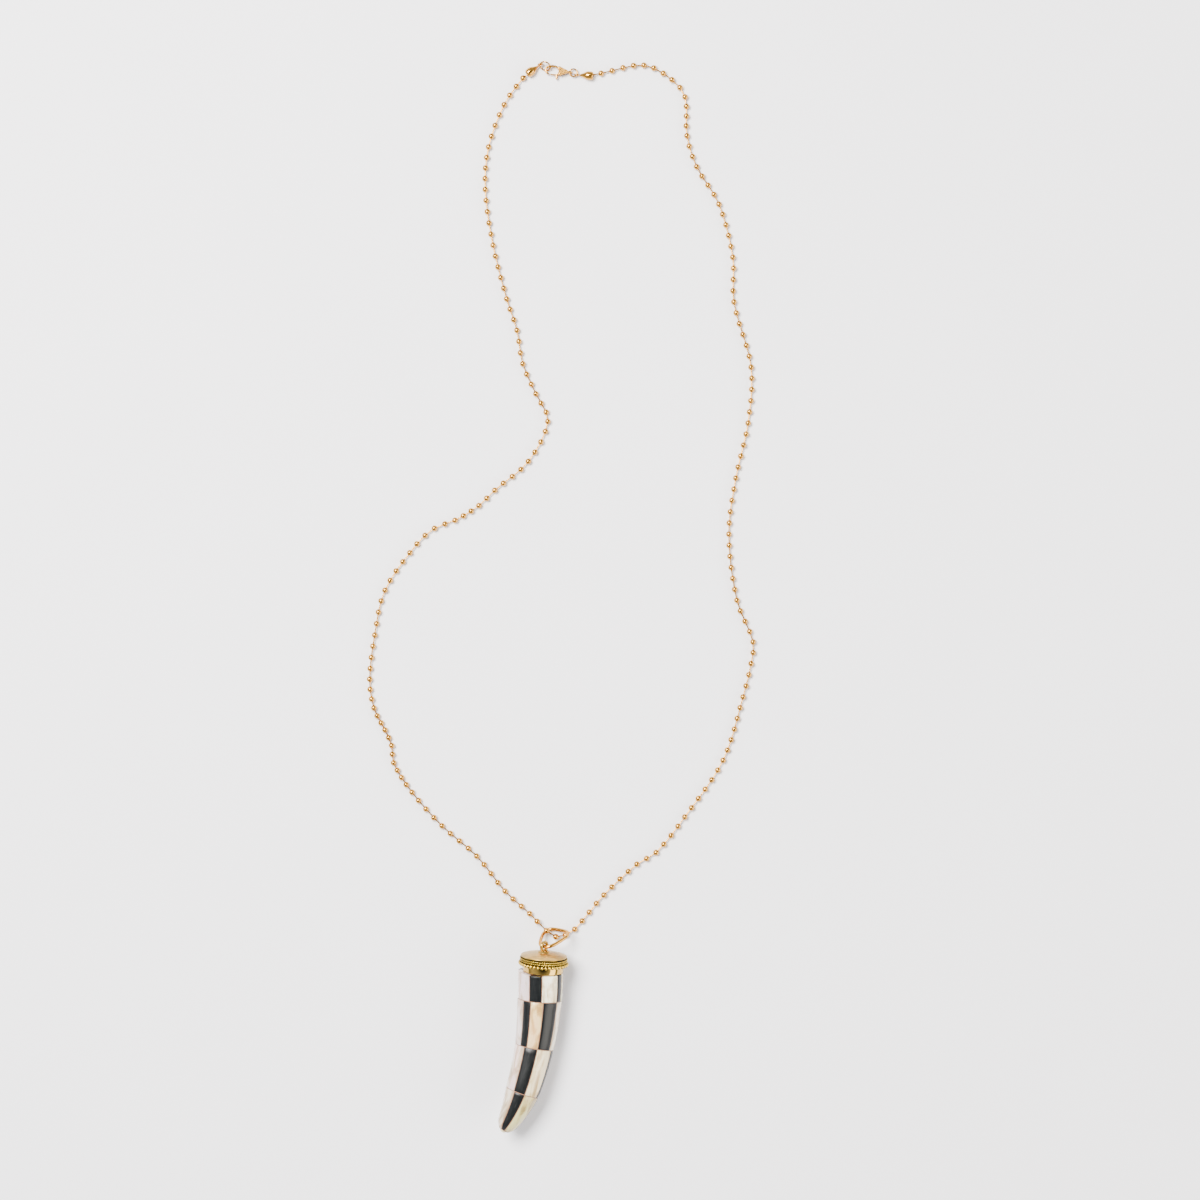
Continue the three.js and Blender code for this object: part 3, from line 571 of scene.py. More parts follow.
def lathed(profile, sides):
    """Turns a profile of radius and height about Z. It starts and ends on the axis or closes on itself."""
    points, faces, rows = [], [], []
    for radius, height in profile:
        if radius < ON_AXIS:
            rows.append([len(points)] * sides)
            points.append(Vector((0, 0, height)))
            continue
        rows.append(list(range(len(points), len(points) + sides)))
        points += [on_circle(radius, 2 * pi * j / sides, height) for j in range(sides)]
    pairs = list(zip(rows, rows[1:]))
    if profile[0][0] > ON_AXIS:
        pairs.append((rows[-1], rows[0]))
    for low, high in pairs:
        for j in range(sides):
            k = (j + 1) % sides
            face = list(dict.fromkeys((low[j], low[k], high[k], high[j])))
            if len(face) > 2:
                faces.append(tuple(face))
    return points, faces


def slab(outline, low, high):
    """A flat plate of an outline, from one height to another."""
    count = len(outline)
    points = [Vector((x, y, height)) for height in (low, high) for x, y in outline]
    faces = [tuple(range(count))[::-1], tuple(range(count, 2 * count))]
    faces += [(j, (j + 1) % count, (j + 1) % count + count, j + count) for j in range(count)]
    return points, faces


def placed(shape, matrix):
    points, faces = shape
    return [matrix @ point for point in points], faces


def joined(*shapes):
    """Several closed shapes as one mesh."""
    points, faces = [], []
    for shape_points, shape_faces in shapes:
        start = len(points)
        points += shape_points
        faces += [tuple(start + index for index in face) for face in shape_faces]
    return points, faces


def settle(mesh, sharp_angle):
    """Merges doubles, turns the faces outwards and shades them smooth up to an angle."""
    work = bmesh.new()
    work.from_mesh(mesh)
    bmesh.ops.remove_doubles(work, verts=work.verts, dist=DOUBLES)
    bmesh.ops.recalc_face_normals(work, faces=work.faces)
    work.to_mesh(mesh)
    work.free()
    mesh.shade_smooth()
    mesh.set_sharp_from_angle(angle=radians(sharp_angle))


def make_piece(name, shape, finish, nodes, matrix, body="root", sharp_angle=38, bevel=0):
    """Makes one piece of points in millimetres, gives it its material, and hides the nodes that it stands
    for.
    """
    points, faces = shape
    mesh = bpy.data.meshes.new(name)
    mesh.from_pydata([tuple(point) for point in points], [], faces)
    mesh.transform(Matrix.Scale(MM, 4) @ matrix)
    settle(mesh, sharp_angle)
    piece = bpy.data.objects.new(name, mesh)
    bpy.context.scene.collection.objects.link(piece)
    if bevel:
        edge = piece.modifiers.new("edges", "BEVEL")
        edge.width = bevel * MM
        edge.segments = 4
        edge.limit_method = "ANGLE"
        edge.angle_limit = radians(35)
        edge.harden_normals = True
    return dressed(piece, finish, nodes, body)


def dressed(piece, finish, nodes, body="root"):
    """Gives a piece its material and body, and hides the nodes that it stands for."""
    piece.data.materials.clear()
    piece.data.materials.append(finish_of(finish))
    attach(piece, body)
    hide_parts(*nodes)
    return piece


# Geometry Nodes

def new_tree(name, build, **inputs):
    """A tree of geometry nodes with named inputs. What build adds is made real, smooth and coated."""
    tree = bpy.data.node_groups.new(name, "GeometryNodeTree")
    tree.interface.new_socket(name="Geometry", in_out="INPUT", socket_type="NodeSocketGeometry")
    tree.interface.new_socket(name="Geometry", in_out="OUTPUT", socket_type="NodeSocketGeometry")
    kinds = {float: "NodeSocketFloat", int: "NodeSocketInt", bpy.types.Material: "NodeSocketMaterial"}
    for label, value in inputs.items():
        tree.interface.new_socket(name=label, in_out="INPUT", socket_type=kinds[type(value)])
    given = put(tree, "NodeGroupInput").outputs
    real = put(tree, "GeometryNodeRealizeInstances", {"Geometry": build(tree, given)})
    smooth = put(tree, "GeometryNodeSetShadeSmooth", {"Geometry": real})
    coated = put(tree, "GeometryNodeSetMaterial", {"Geometry": smooth, "Material": given["Material"]})
    put(tree, "NodeGroupOutput", {"Geometry": coated})
    return tree


def grown(name, build, points=((0, 0, 0),), edges=(), matrix=Matrix(), **inputs):
    """Runs a tree of nodes on a mesh of points in metres and keeps the result as a plain mesh."""
    tree = new_tree(name, build, **inputs)
    start = bpy.data.meshes.new(name + "_start")
    start.from_pydata([tuple(point) for point in points], list(edges), [])
    piece = bpy.data.objects.new(name, start)
    bpy.context.scene.collection.objects.link(piece)
    modifier = piece.modifiers.new("shape", "NODES")
    modifier.node_group = tree
    for item in tree.interface.items_tree:
        if item.in_out == "INPUT" and item.name in inputs:
            modifier[item.identifier] = inputs[item.name]
    bpy.context.view_layer.update()
    evaluated = piece.evaluated_get(bpy.context.evaluated_depsgraph_get())
    mesh = bpy.data.meshes.new_from_object(evaluated)
    piece.modifiers.clear()
    piece.data = mesh
    mesh.name = name
    mesh.transform(matrix)
    return piece


# Share of its radius at which a ball is flattened, and how finely balls, granules and thin wires are made
BALL_POLE = 0.93
SPHERE = {"Segments": 16, "Rings": 10}
WIRE_SIDES = 8
ROPE_STEPS = 12


def chain_nodes(tree, given):
    """Balls on every point of the route, flattened where the wire goes in, and the wire through them."""
    route = put(tree, "GeometryNodeMeshToCurve", {"Mesh": given["Geometry"]})
    radius = put(tree, "Math", {0: given["Ball"], 1: 0.5}, operation="MULTIPLY")
    wire = put(tree, "Math", {0: given["Wire"], 1: 0.5}, operation="MULTIPLY")
    ball = put(tree, "GeometryNodeMeshUVSphere", {**SPHERE, "Radius": radius})
    place = put(tree, "GeometryNodeInputPosition")
    parts = put(tree, "SeparateXYZ", {"Vector": place})
    pole = put(tree, "Math", {0: radius, 1: BALL_POLE}, operation="MULTIPLY")
    below = put(tree, "Math", {0: pole, 1: -1.0}, operation="MULTIPLY")
    height = put(tree, "Clamp", {"Value": parts.outputs["Z"], "Min": below, "Max": pole})
    flat = put(tree, "CombineXYZ", {"X": parts.outputs["X"], "Y": parts.outputs["Y"], "Z": height})
    ball = put(tree, "GeometryNodeSetPosition", {"Geometry": ball, "Position": flat})
    along = put(tree, "GeometryNodeInputTangent")
    turn = put(tree, "FunctionNodeAlignRotationToVector", {"Vector": along}, axis="Z")
    balls = put(tree, "GeometryNodeInstanceOnPoints", {"Points": route, "Instance": ball, "Rotation": turn})
    round_wire = put(tree, "GeometryNodeCurvePrimitiveCircle", {
        "Resolution": given["Sides"], "Radius": wire})
    wires = put(tree, "GeometryNodeCurveToMesh", {
        "Curve": route, "Profile Curve": round_wire, "Fill Caps": True})
    both = put(tree, "GeometryNodeJoinGeometry")
    for part in (balls, wires):
        feed(tree, both, {"Geometry": part})
    return both


def rope_nodes(tree, given):
    """Rows of two wires twisted together round the cap."""
    half = put(tree, "Math", {0: given["Rope"], 1: 0.25}, operation="MULTIPLY")
    ring = put(tree, "GeometryNodeCurvePrimitiveCircle", {
        "Resolution": given["Steps"], "Radius": given["Ring"]})
    strands = put(tree, "GeometryNodeDuplicateElements", {
        "Geometry": ring, "Amount": given["Strands"]}, domain="SPLINE")
    number = strands.outputs["Duplicate Index"]
    row = put(tree, "Math", {0: number, 1: 2.0}, operation="DIVIDE")
    row = put(tree, "Math", {0: row}, operation="FLOOR")
    odd = put(tree, "Math", {0: number, 1: 2.0}, operation="MODULO")
    place = put(tree, "GeometryNodeInputPosition")
    parts = put(tree, "SeparateXYZ", {"Vector": place})
    angle = put(tree, "Math", {0: parts.outputs["Y"], 1: parts.outputs["X"]}, operation="ARCTAN2")
    twist = put(tree, "Math", {0: angle, 1: given["Turns"]}, operation="MULTIPLY")
    phase = put(tree, "Math", {0: odd, 1: pi, 2: twist}, operation="MULTIPLY_ADD")
    out = put(tree, "Math", {0: phase}, operation="COSINE")
    rise = put(tree, "Math", {0: phase}, operation="SINE")
    out = put(tree, "Math", {0: out, 1: half}, operation="MULTIPLY")
    level = put(tree, "Math", {0: row, 1: given["Rope"]}, operation="MULTIPLY")
    rise = put(tree, "Math", {0: rise, 1: half, 2: level}, operation="MULTIPLY_ADD")
    away = put(tree, "VectorMath", {0: place}, operation="NORMALIZE")
    away = put(tree, "VectorMath", {0: away, "Scale": out}, operation="SCALE")
    up = put(tree, "CombineXYZ", {"Z": rise})
    offset = put(tree, "VectorMath", {0: away, 1: up}, operation="ADD")
    twisted = put(tree, "GeometryNodeSetPosition", {"Geometry": strands, "Offset": offset})
    strand = put(tree, "GeometryNodeCurvePrimitiveCircle", {
        "Resolution": given["Sides"], "Radius": half})
    return put(tree, "GeometryNodeCurveToMesh", {"Curve": twisted, "Profile Curve": strand})


def granule_nodes(tree, given):
    """A ring of equal grains."""
    ring = put(tree, "GeometryNodeCurvePrimitiveCircle", {
        "Resolution": given["Count"], "Radius": given["Ring"]})
    radius = put(tree, "Math", {0: given["Grain"], 1: 0.5}, operation="MULTIPLY")
    grain = put(tree, "GeometryNodeMeshUVSphere", {**SPHERE, "Radius": radius})
    return put(tree, "GeometryNodeInstanceOnPoints", {"Points": ring, "Instance": grain})


# Chain

def slope(i, key):
    before, after = ROUTE[max(i - 1, 0)], ROUTE[min(i + 1, len(ROUTE) - 1)]
    return (after[key] - before[key]) / (after[0] - before[0])


def bead_place(number):
    """Middle of a ball, on the smooth curve through the route."""
    i = max(next(i for i, row in enumerate(ROUTE) if row[0] >= number), 1)
    a, b = ROUTE[i - 1], ROUTE[i]
    span = b[0] - a[0]
    t = (number - a[0]) / span

    def along(key):
        return ((2 * t ** 3 - 3 * t ** 2 + 1) * a[key] + (3 * t ** 2 - 2 * t ** 3) * b[key]
                + span * ((t ** 3 - 2 * t ** 2 + t) * slope(i - 1, key) + (t ** 3 - t ** 2) * slope(i, key)))

    lift = sizes().ball / MM / 2 + a[3] + t * (b[3] - a[3])
    return Vector((along(1), along(2), lift)) + LAID_OUT


class NECKLACE_OT_ball_chain(bpy.types.Operator):
    """Makes the ball chain along its laid-out route"""
    bl_idname = "necklace.ball_chain"
    bl_label = "Ball chain"

    def execute(self, context):
        places = [bead_place(number) * MM for number in range(ROUTE[-1][0] + 1)]
        edges = [(i, i + 1) for i in range(len(places) - 1)]
        piece = grown("ball_chain", chain_nodes, places, edges, Ball=sizes().ball, Wire=sizes().link_wire,
                      Sides=WIRE_SIDES, Material=finish_of("gold"))
        dressed(piece, "gold", ("chain_left", "chain_right"))
        return {"FINISHED"}


# End cups, jump rings and clasp

# Section of an end cup round the last ball, from inside out, as radius and place along it from the ball
CUP_PROFILE = (
    (0, 1.3), (0.91, 0.975), (1.3, 0), (1.105, -1.3), (0.9, -1.6), (1.15, -1.6), (1.5, -1.2), (1.6, 0),
    (1.45, 0.96), (1.0, 1.7), (0.62, 2.4), (0.355, 3.1), (0, 3.5),
)
CUP_ROUNDING = 0.4
CUP_LOOP = 0.85
CUP_LOOP_WIRE = 0.55
CUP_REACH = CUP_PROFILE[-1][1] + CUP_LOOP
CUP_DROP = 0.3

# Cups as piece, node, bead, turn and roll of the loop; rings as piece, node, radius, tilt and turn
CUPS = (("end_cup_left", "connector_left", 0, 37, -50), ("end_cup_right", "connector_right", 190, 176, 90))
RINGS = (("jump_ring_left_wire", "jump_ring_left", 1.9, 50, -20),
         ("jump_ring_right_wire", "jump_ring_right", 1.35, 0, 0))

# Half the angle of the cut in a jump ring's bent wire, which stays a hair open, and the steps round the ring
RING_CUT = 0.012
RING_STEPS = 56


def cup_shape(roll):
    """Pressed half shells round the last ball, drawn out to a loop. It lies along +X with the ball at 0."""
    shell = lathed(rounded(CUP_PROFILE, CUP_ROUNDING), 28)
    loop = hoop(CUP_LOOP, CUP_LOOP_WIRE, 32, 10)
    loop = placed(loop, Matrix.Translation((CUP_REACH, 0, 0)) @ Matrix.Rotation(radians(roll), 4, "X"))
    cup = joined(placed(shell, Matrix.Rotation(pi / 2, 4, "Y")), loop)
    return placed(cup, Matrix.Rotation(atan2(CUP_DROP, CUP_REACH), 4, "Y"))


def ring_shape(radius, wire):
    angles = [RING_CUT + (2 * pi - 2 * RING_CUT) * i / RING_STEPS for i in range(RING_STEPS + 1)]
    return swept([on_circle(radius, angle) for angle in angles], oval(wire, wire, 12))


class NECKLACE_OT_rings(bpy.types.Operator):
    """Makes the end cups and the jump rings"""
    bl_idname = "necklace.rings"
    bl_label = "End cups and jump rings"

    def execute(self, context):
        for name, node, bead, turn, roll in CUPS:
            matrix = turned_to(bead_place(bead), 0, 0, turn)
            make_piece(name, cup_shape(roll), "gold", (node,), matrix)
        for name, node, radius, tilt, turn in RINGS:
            low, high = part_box(node)
            matrix = turned_to((low + high) / 2 / MM, tilt, 0, turn)
            shape = ring_shape(radius, sizes().ring_wire / MM)
            make_piece(name, shape, "gold", (node,), matrix)
        return {"FINISHED"}


# Clasp, along +X from the middle of the hook. Halves are heights from its middle plane.
HOOK_LENGTH = 5.9
HOOK_WIDTH = 4.0
HOOK_WIRE = 0.75
HOOK_THICKNESS = 0.95
HOOK_END = 245
HOOK_STEPS = 44
BODY_HALF = 0.95
SLOT_HALF = 0.55
BODY_REACH = 5.3
BODY_EDGE = 0.32
SWIVEL_RADIUS = 0.85
SWIVEL_WIRE = 0.6

# Outlines of the body's cheeks and of the web between them
SHOULDER = ((1.95, 1.42), (2.35, 1.62), (3.1, 1.35), (4.2, 0.85), (5.3, 0.45), (5.5, 0), (5.3, -0.45),
            (4.5, -0.85))
CHEEK = SHOULDER + ((3.6, -1.3), (3.0, -1.62), (2.3, -1.62), (1.95, -1.0), (2.1, -0.2), (2.2, 0.7))
WEB = SHOULDER + ((3.55, -1.0), (3.4, -0.4), (2.9, 0.05), (2.2, 0.4))

# Rivet: its place, and its section from the lower head up, as radius and height
PIVOT = Vector((2.6, -0.95, 0))
RIVET = ((0, -1.07), (0.3, -1.05), (0.38, -0.9), (0.25, -0.55),
         (0.25, 0.55), (0.38, 0.9), (0.3, 1.05), (0, 1.07))
RIVET_ROUNDING = 0.06

# Lever: middle lines of its arm and thumb tab, and the hole and rim of the boss on the rivet
LEVER_THICKNESS = 0.8
LEVER_WIDTH = 0.6
LEVER_ARM = ((-0.72, -1.42), (0.1, -1.5), (1.3, -1.45), (2.1, -1.2), (2.4, -0.95))
LEVER_TAB = ((1.5, -1.3), (1.62, -2.35), (1.7, -3.2))
BOSS_HOLE = 0.35
BOSS_RIM = 0.62


def cast_plate(corners, low, high):
    """A plate with a smooth outline through its corners."""
    return slab(curve_through([Vector(corner) for corner in corners], 4, closed=True), low, high)


def clasp_body_shape():
    """Cast body: a round hook drawn into two cheeks, the lever's slot between them, and the swivel eye."""
    a, b = (HOOK_LENGTH - HOOK_WIRE) / 2, (HOOK_WIDTH - HOOK_WIRE) / 2
    angles = [radians(HOOK_END) * i / HOOK_STEPS for i in range(HOOK_STEPS + 1)]

    def section(share):
        tip = min(1, 0.55 + 6 * (1 - share))
        root = 1 + 0.35 * max(0, 1 - 5 * share)
        return oval(HOOK_WIRE * tip * root, HOOK_THICKNESS * tip * root, 16, 2.4)

    hook = swept([Vector((a * cos(t), b * sin(t), 0)) for t in angles], section)
    cheeks = [cast_plate(CHEEK, SLOT_HALF, BODY_HALF), cast_plate(CHEEK, -BODY_HALF, -SLOT_HALF)]
    web = cast_plate(WEB, -SLOT_HALF, SLOT_HALF)
    rivet = placed(lathed(rounded(RIVET, RIVET_ROUNDING), 20), Matrix.Translation(PIVOT))
    swivel = placed(hoop(SWIVEL_RADIUS, SWIVEL_WIRE, 32, 10),
                    Matrix.Translation((BODY_REACH + SWIVEL_RADIUS, 0, 0)) @ Matrix.Rotation(pi / 2, 4, "X"))
    return joined(hook, *cheeks, web, rivet, swivel)


def lever_shape():
    """Sprung lever: a thin curved arm that closes the hook, its thumb tab, and the boss on the rivet."""
    def arm_section(share):
        return oval(LEVER_WIDTH * (0.75 + 0.35 * share), LEVER_THICKNESS * 0.98, 12, 3)

    def thumb_section(share):
        swell = sqrt(1.02 - share ** 6)
        return oval(1.25 * LEVER_WIDTH * swell, LEVER_THICKNESS * swell, 14, 2.6)

    arm = swept(curve_through(flat(LEVER_ARM), 6), arm_section)
    thumb = swept(curve_through(flat(LEVER_TAB), 8), thumb_section)
    half = LEVER_THICKNESS / 2
    boss = lathed(((BOSS_HOLE, -half), (BOSS_RIM, -half), (BOSS_RIM, half), (BOSS_HOLE, half)), 24)
    return joined(arm, thumb, placed(boss, Matrix.Translation(PIVOT)))


class NECKLACE_OT_clasp(bpy.types.Operator):
    """Makes the lobster clasp's body and its lever"""
    bl_idname = "necklace.clasp"
    bl_label = "Lobster clasp"

    def execute(self, context):
        make_piece("clasp_shell", clasp_body_shape(), "gold", ("clasp_body",), CLASP, bevel=BODY_EDGE)
        make_piece("clasp_thumb_lever", lever_shape(), "gold", ("clasp_lever",), CLASP, "lever")
        return {"FINISHED"}


# Pendant

class NECKLACE_OT_bail(bpy.types.Operator):
    """Makes the wire bail through the cap's eye"""
    bl_idname = "necklace.bail"
    bl_label = "Bail"

    def execute(self, context):
        wire = sizes().bail_wire / MM
        corners = flat((across * BAIL_WIDTH / 2, up * BAIL_HEIGHT) for across, up in BAIL_OUTLINE)
        shape = swept(curve_through(corners, 8, closed=True), oval(wire, wire, 16), closed=True)
        make_piece("bail_wire", shape, "gold", ("bail",), BAIL)
        return {"FINISHED"}


# How far soldered parts of the cap run into each other, how its turned edges are rounded, and how deep the
# granules and wires sit in its body
SOLDER = 0.05
CAP_EDGE = 0.12
CAP_SEAT = 0.45
DISC_CHAMFER = 0.35
DOME_STEPS = 14


def cap_body_profile():
    """Seat of the granules and ropes, then the groove under the disc."""
    inner, seat, back = SLEEVE_RADIUS - 0.2, GRANULE_RING - CAP_SEAT, ROPE_RING - CAP_SEAT
    foot, rope_foot, top = SLEEVE_HEIGHT - 0.1, SLEEVE_HEIGHT + GRANULE_DIAMETER, GROOVE_TOP + SOLDER
    return ((0, foot), (inner, foot), (inner, SLEEVE_HEIGHT), (seat, SLEEVE_HEIGHT + CAP_EDGE),
            (seat, rope_foot), (back, rope_foot + SOLDER), (back, top), (0, top))


def disc_profile():
    """Flat disc with a low dome."""
    top = GROOVE_TOP + DISC_THICKNESS
    rim = rounded(((0, GROOVE_TOP), (DISC_RADIUS, GROOVE_TOP), (DISC_RADIUS, top - 0.02),
                   (DISC_RADIUS - DISC_CHAMFER, top)), CAP_EDGE)
    shares = [0.08 + 0.92 * i / DOME_STEPS for i in range(DOME_STEPS + 1)]
    return rim[:-1] + [(DISC_RADIUS * (1 - t), top + DOME_HEIGHT * (1 - (1 - t) ** 2)) for t in shares]


def cap_row(name, build, finish, middle, **inputs):
    """Grows wires or grains round the cap, with their middle this far up its axis."""
    metres = Matrix.Scale(MM, 4) @ CAP_AXIS @ Matrix.Translation((0, 0, middle)) @ Matrix.Scale(1 / MM, 4)
    piece = grown(name, build, matrix=metres, Material=finish_of(finish), **inputs)
    dressed(piece, finish, ("cap",))


class NECKLACE_OT_cap(bpy.types.Operator):
    """Makes the soldered cap: sleeve, granules, twisted wires, domed disc, collar and eye"""
    bl_idname = "necklace.cap"
    bl_label = "Cap"

    def execute(self, context):
        def part(name, shape, finish, matrix=CAP_AXIS):
            make_piece(name, shape, finish, ("cap",), matrix)

        socket = SLEEVE_RADIUS - SLEEVE_WALL
        top = SLEEVE_HEIGHT + SOLDER
        sleeve = ((socket, SOLDER), (socket, 0), (SLEEVE_RADIUS, 0), (SLEEVE_RADIUS, top), (socket, top))
        part("cap_sleeve", lathed(rounded(sleeve, CAP_EDGE), 96), "mirror")
        part("cap_seat", lathed(cap_body_profile(), 72), "groove")
        part("cap_disc", lathed(disc_profile(), 96), "satin")
        foot = CAP_TOP - COLLAR_SINK
        collar = ((0, foot), (COLLAR_RADIUS, foot), (COLLAR_RADIUS - SOLDER, CAP_TOP - SOLDER),
                  (0.7 * COLLAR_RADIUS, CAP_TOP + 0.55 * COLLAR_HEIGHT), (0, CAP_TOP + COLLAR_HEIGHT))
        part("cap_collar", lathed(rounded(collar, COLLAR_ROUNDING), 48), "aged")
        eye = Matrix.Translation((0, EYE_HEIGHT, 0)) @ Matrix.Rotation(radians(90 - EYE_TURN), 4, "Y")
        part("cap_eye", hoop(EYE_RADIUS, EYE_WIRE, 48, 16), "aged", PENDANT @ eye)

        turns = sizes().rope_turns
        cap_row("cap_rope_wires", rope_nodes, "rope", SLEEVE_HEIGHT + GRANULE_DIAMETER + ROPE_WIRE / 2,
                Ring=ROPE_RING * MM, Rope=sizes().rope_wire, Turns=float(turns), Strands=4,
                Steps=ROPE_STEPS * turns, Sides=WIRE_SIDES)
        cap_row("cap_granules", granule_nodes, "grain", SLEEVE_HEIGHT + GRANULE_DIAMETER / 2,
                Ring=GRANULE_RING * MM, Grain=sizes().granule, Count=GRANULES)
        return {"FINISHED"}


def horn_stations():
    """Places down the horn as x, y, z and radius, in the pendant's frame, with their directions."""
    place = Vector((-HORN_OFFSET, 0, 0))
    corners = [Vector((*place, HORN_RADIUS))]
    for _, share, end, swing, rise in STRETCHES:
        s, r = radians(swing), radians(rise)
        place = place + Vector((-sin(s) * cos(r), -cos(s) * cos(r), sin(r))) * share * HORN_LENGTH
        corners.append(Vector((*place, end * HORN_RADIUS)))
    line = curve_through(corners, HORN_STEPS)
    stations = [(here.to_3d(), here.w, (after - before).to_3d().normalized())
                for before, here, after in neighbours(line)]
    stations[0] = (*stations[0][:2], Vector((0, -1, 0)))
    return stations


def on_horn(station, radius, angle, shift=0.0):
    """A point of the horn at a radius and an angle from straight up."""
    centre, _, direction = station
    right = (Vector((1, 0, 0)) - direction * direction.x).normalized()
    up = direction.cross(right).normalized()
    return centre + direction * shift + right * radius * sin(angle) + up * radius * cos(angle)


def tier_angles(tier):
    """Angles of a tier's joints once round: those that show, then the hidden ones evenly between them."""
    _, tiles, cuts = TIERS[tier - 1]
    rest = tiles - len(cuts) + 1
    hidden = [cuts[-1] + (cuts[0] + 360 - cuts[-1]) * (j + 1) / rest for j in range(rest)]
    return [radians(angle) for angle in (*cuts, *hidden)]


def sunk(radius, angle, start, end):
    """Radius of a tile's slightly flattened face at an angle between its two edges."""
    chord = radius * cos((end - start) / 2) / cos(angle - (start + end) / 2)
    return radius + TILE_FLATNESS * (chord - radius)


def tier_span(tier):
    numbers = [i for i, row in enumerate(STRETCHES) if row[0] == tier]
    return numbers[0] * HORN_STEPS, (numbers[-1] + 1) * HORN_STEPS


# Own colours of the tiles that the light picks out, by tier and number; the others share one. Some are
# painted light: the left-hand tiles (number 1) are darkened as painted shade, and tile 3 of tier 1 is
# lightened almost to white as a painted reflection
TILE_TONES_WITH_PAINTED_LIGHT = {
    (1, 1): "#CDBAB6", (1, 3): "#FFFAD6", (1, 5): "#CDBEA4",
    (2, 1): "#D2C1BA", (2, 3): "#E6C48E", (2, 5): "#E6D8BE",
    (3, 1): "#D0BBB4", (3, 3): "#E4D2A6",
    (4, 1): "#CDB9AC", (4, 3): "#BDB37C",
}

# Width of the joints between tiles, and how far on in the pattern the next tile and the next tier start
JOINT = 0.22
NEXT_TILE = 31
NEXT_TIER = 67


def keep_on_points(mesh, name, kind, field, values):
    """Keeps a value for each point of a mesh, for its material to read."""
    data = mesh.attributes.new(name, kind, "POINT").data
    data.foreach_set(field, [part for value in values for part in value])


def tile_piece(tier, number, start, end, stations):
    """One tile with rounded edges, and its own grain and tone kept as attributes. The tone holds painted
    shade on the left-hand tiles and a painted reflection on tile 3 of tier 1.
    """
    first, last = tier_span(tier)
    # Rows are a station, a shift along it, and how far the face is rounded down there
    head = JOINT / 2 if first else TILE_SEAT
    edge = ((0, TILE_EDGE), (0.3 * TILE_EDGE, 0.3 * TILE_EDGE), (TILE_EDGE, 0))
    rows = [(first, head + shift, drop) for shift, drop in edge]
    rows += [(i, 0.0, 0.0) for i in range(first + 1, last)]
    rows += [(last, -JOINT / 2 - shift, drop) for shift, drop in reversed(edge)]
    rings, grain = [], []
    for index, shift, drop in rows:
        radius = stations[index][1]
        low, high = start + JOINT / 2 / radius, end - JOINT / 2 / radius
        soft = TILE_EDGE / radius
        inner = max(3, round((end - start) / radians(TILE_FACET)))
        angles = [(low + reach / radius, down) for reach, down in edge]
        angles += [(low + soft + (high - low - 2 * soft) * j / inner, 0) for j in range(1, inner)]
        angles += [(high - reach / radius, down) for reach, down in reversed(edge)]
        depth = min(TILE_THICKNESS, TILE_SHARE * radius)
        outline = [(angle, sunk(radius, angle, start, end) - max(drop, down)) for angle, down in angles]
        outline += [(high, radius - depth), (low, radius - depth)]
        rings.append([on_horn(stations[index], r, angle, shift) for angle, r in outline])
        along = (stations[index][0] - stations[first][0]).length + shift
        grain += [((r * angle + NEXT_TILE * number) * MM, (along + NEXT_TIER * tier) * MM, r * MM)
                  for angle, r in outline]
    finish = "pearl" if number % 2 else "black"
    piece = make_piece(f"inlay_{tier}_{number:02d}", loft(rings), finish, (f"tile_{tier}_{number:02d}",),
                       PENDANT, sharp_angle=50)
    # Tone of the tile: painted shade on the left-hand tiles, a painted reflection on tile 3 of tier 1
    tone = from_hex(TILE_TONES_WITH_PAINTED_LIGHT[tier, number]) if (tier, number) in TILE_TONES_WITH_PAINTED_LIGHT else colours().pearl
    keep_on_points(piece.data, "grain", "FLOAT_VECTOR", "vector", grain)
    keep_on_points(piece.data, "tone", "FLOAT_COLOR", "color", [rgba(tone)] * len(piece.data.vertices))


class NECKLACE_OT_tiles(bpy.types.Operator):
    """Makes the inlay tiles, four tiers of black and mother-of-pearl in turn"""
    bl_idname = "necklace.tiles"
    bl_label = "Inlay tiles"

    def execute(self, context):
        stations = horn_stations()
        for tier, tiles, _ in TIERS:
            angles = tier_angles(tier)
            for number in range(1, tiles + 1):
                tile_piece(tier, number, angles[number - 1], angles[number], stations)
        return {"FINISHED"}


def resin_radius(radius, angle, tier):
    """Radius of the resin at an angle: a little under the tiles there."""
    angles = tier_angles(tier)
    while angle < angles[0]:
        angle += 2 * pi
    while angle > angles[-1]:
        angle -= 2 * pi
    start, end = next(pair for pair in zip(angles, angles[1:]) if angle <= pair[1])
    return sunk(radius, angle, start, end) - RESIN_DEPTH


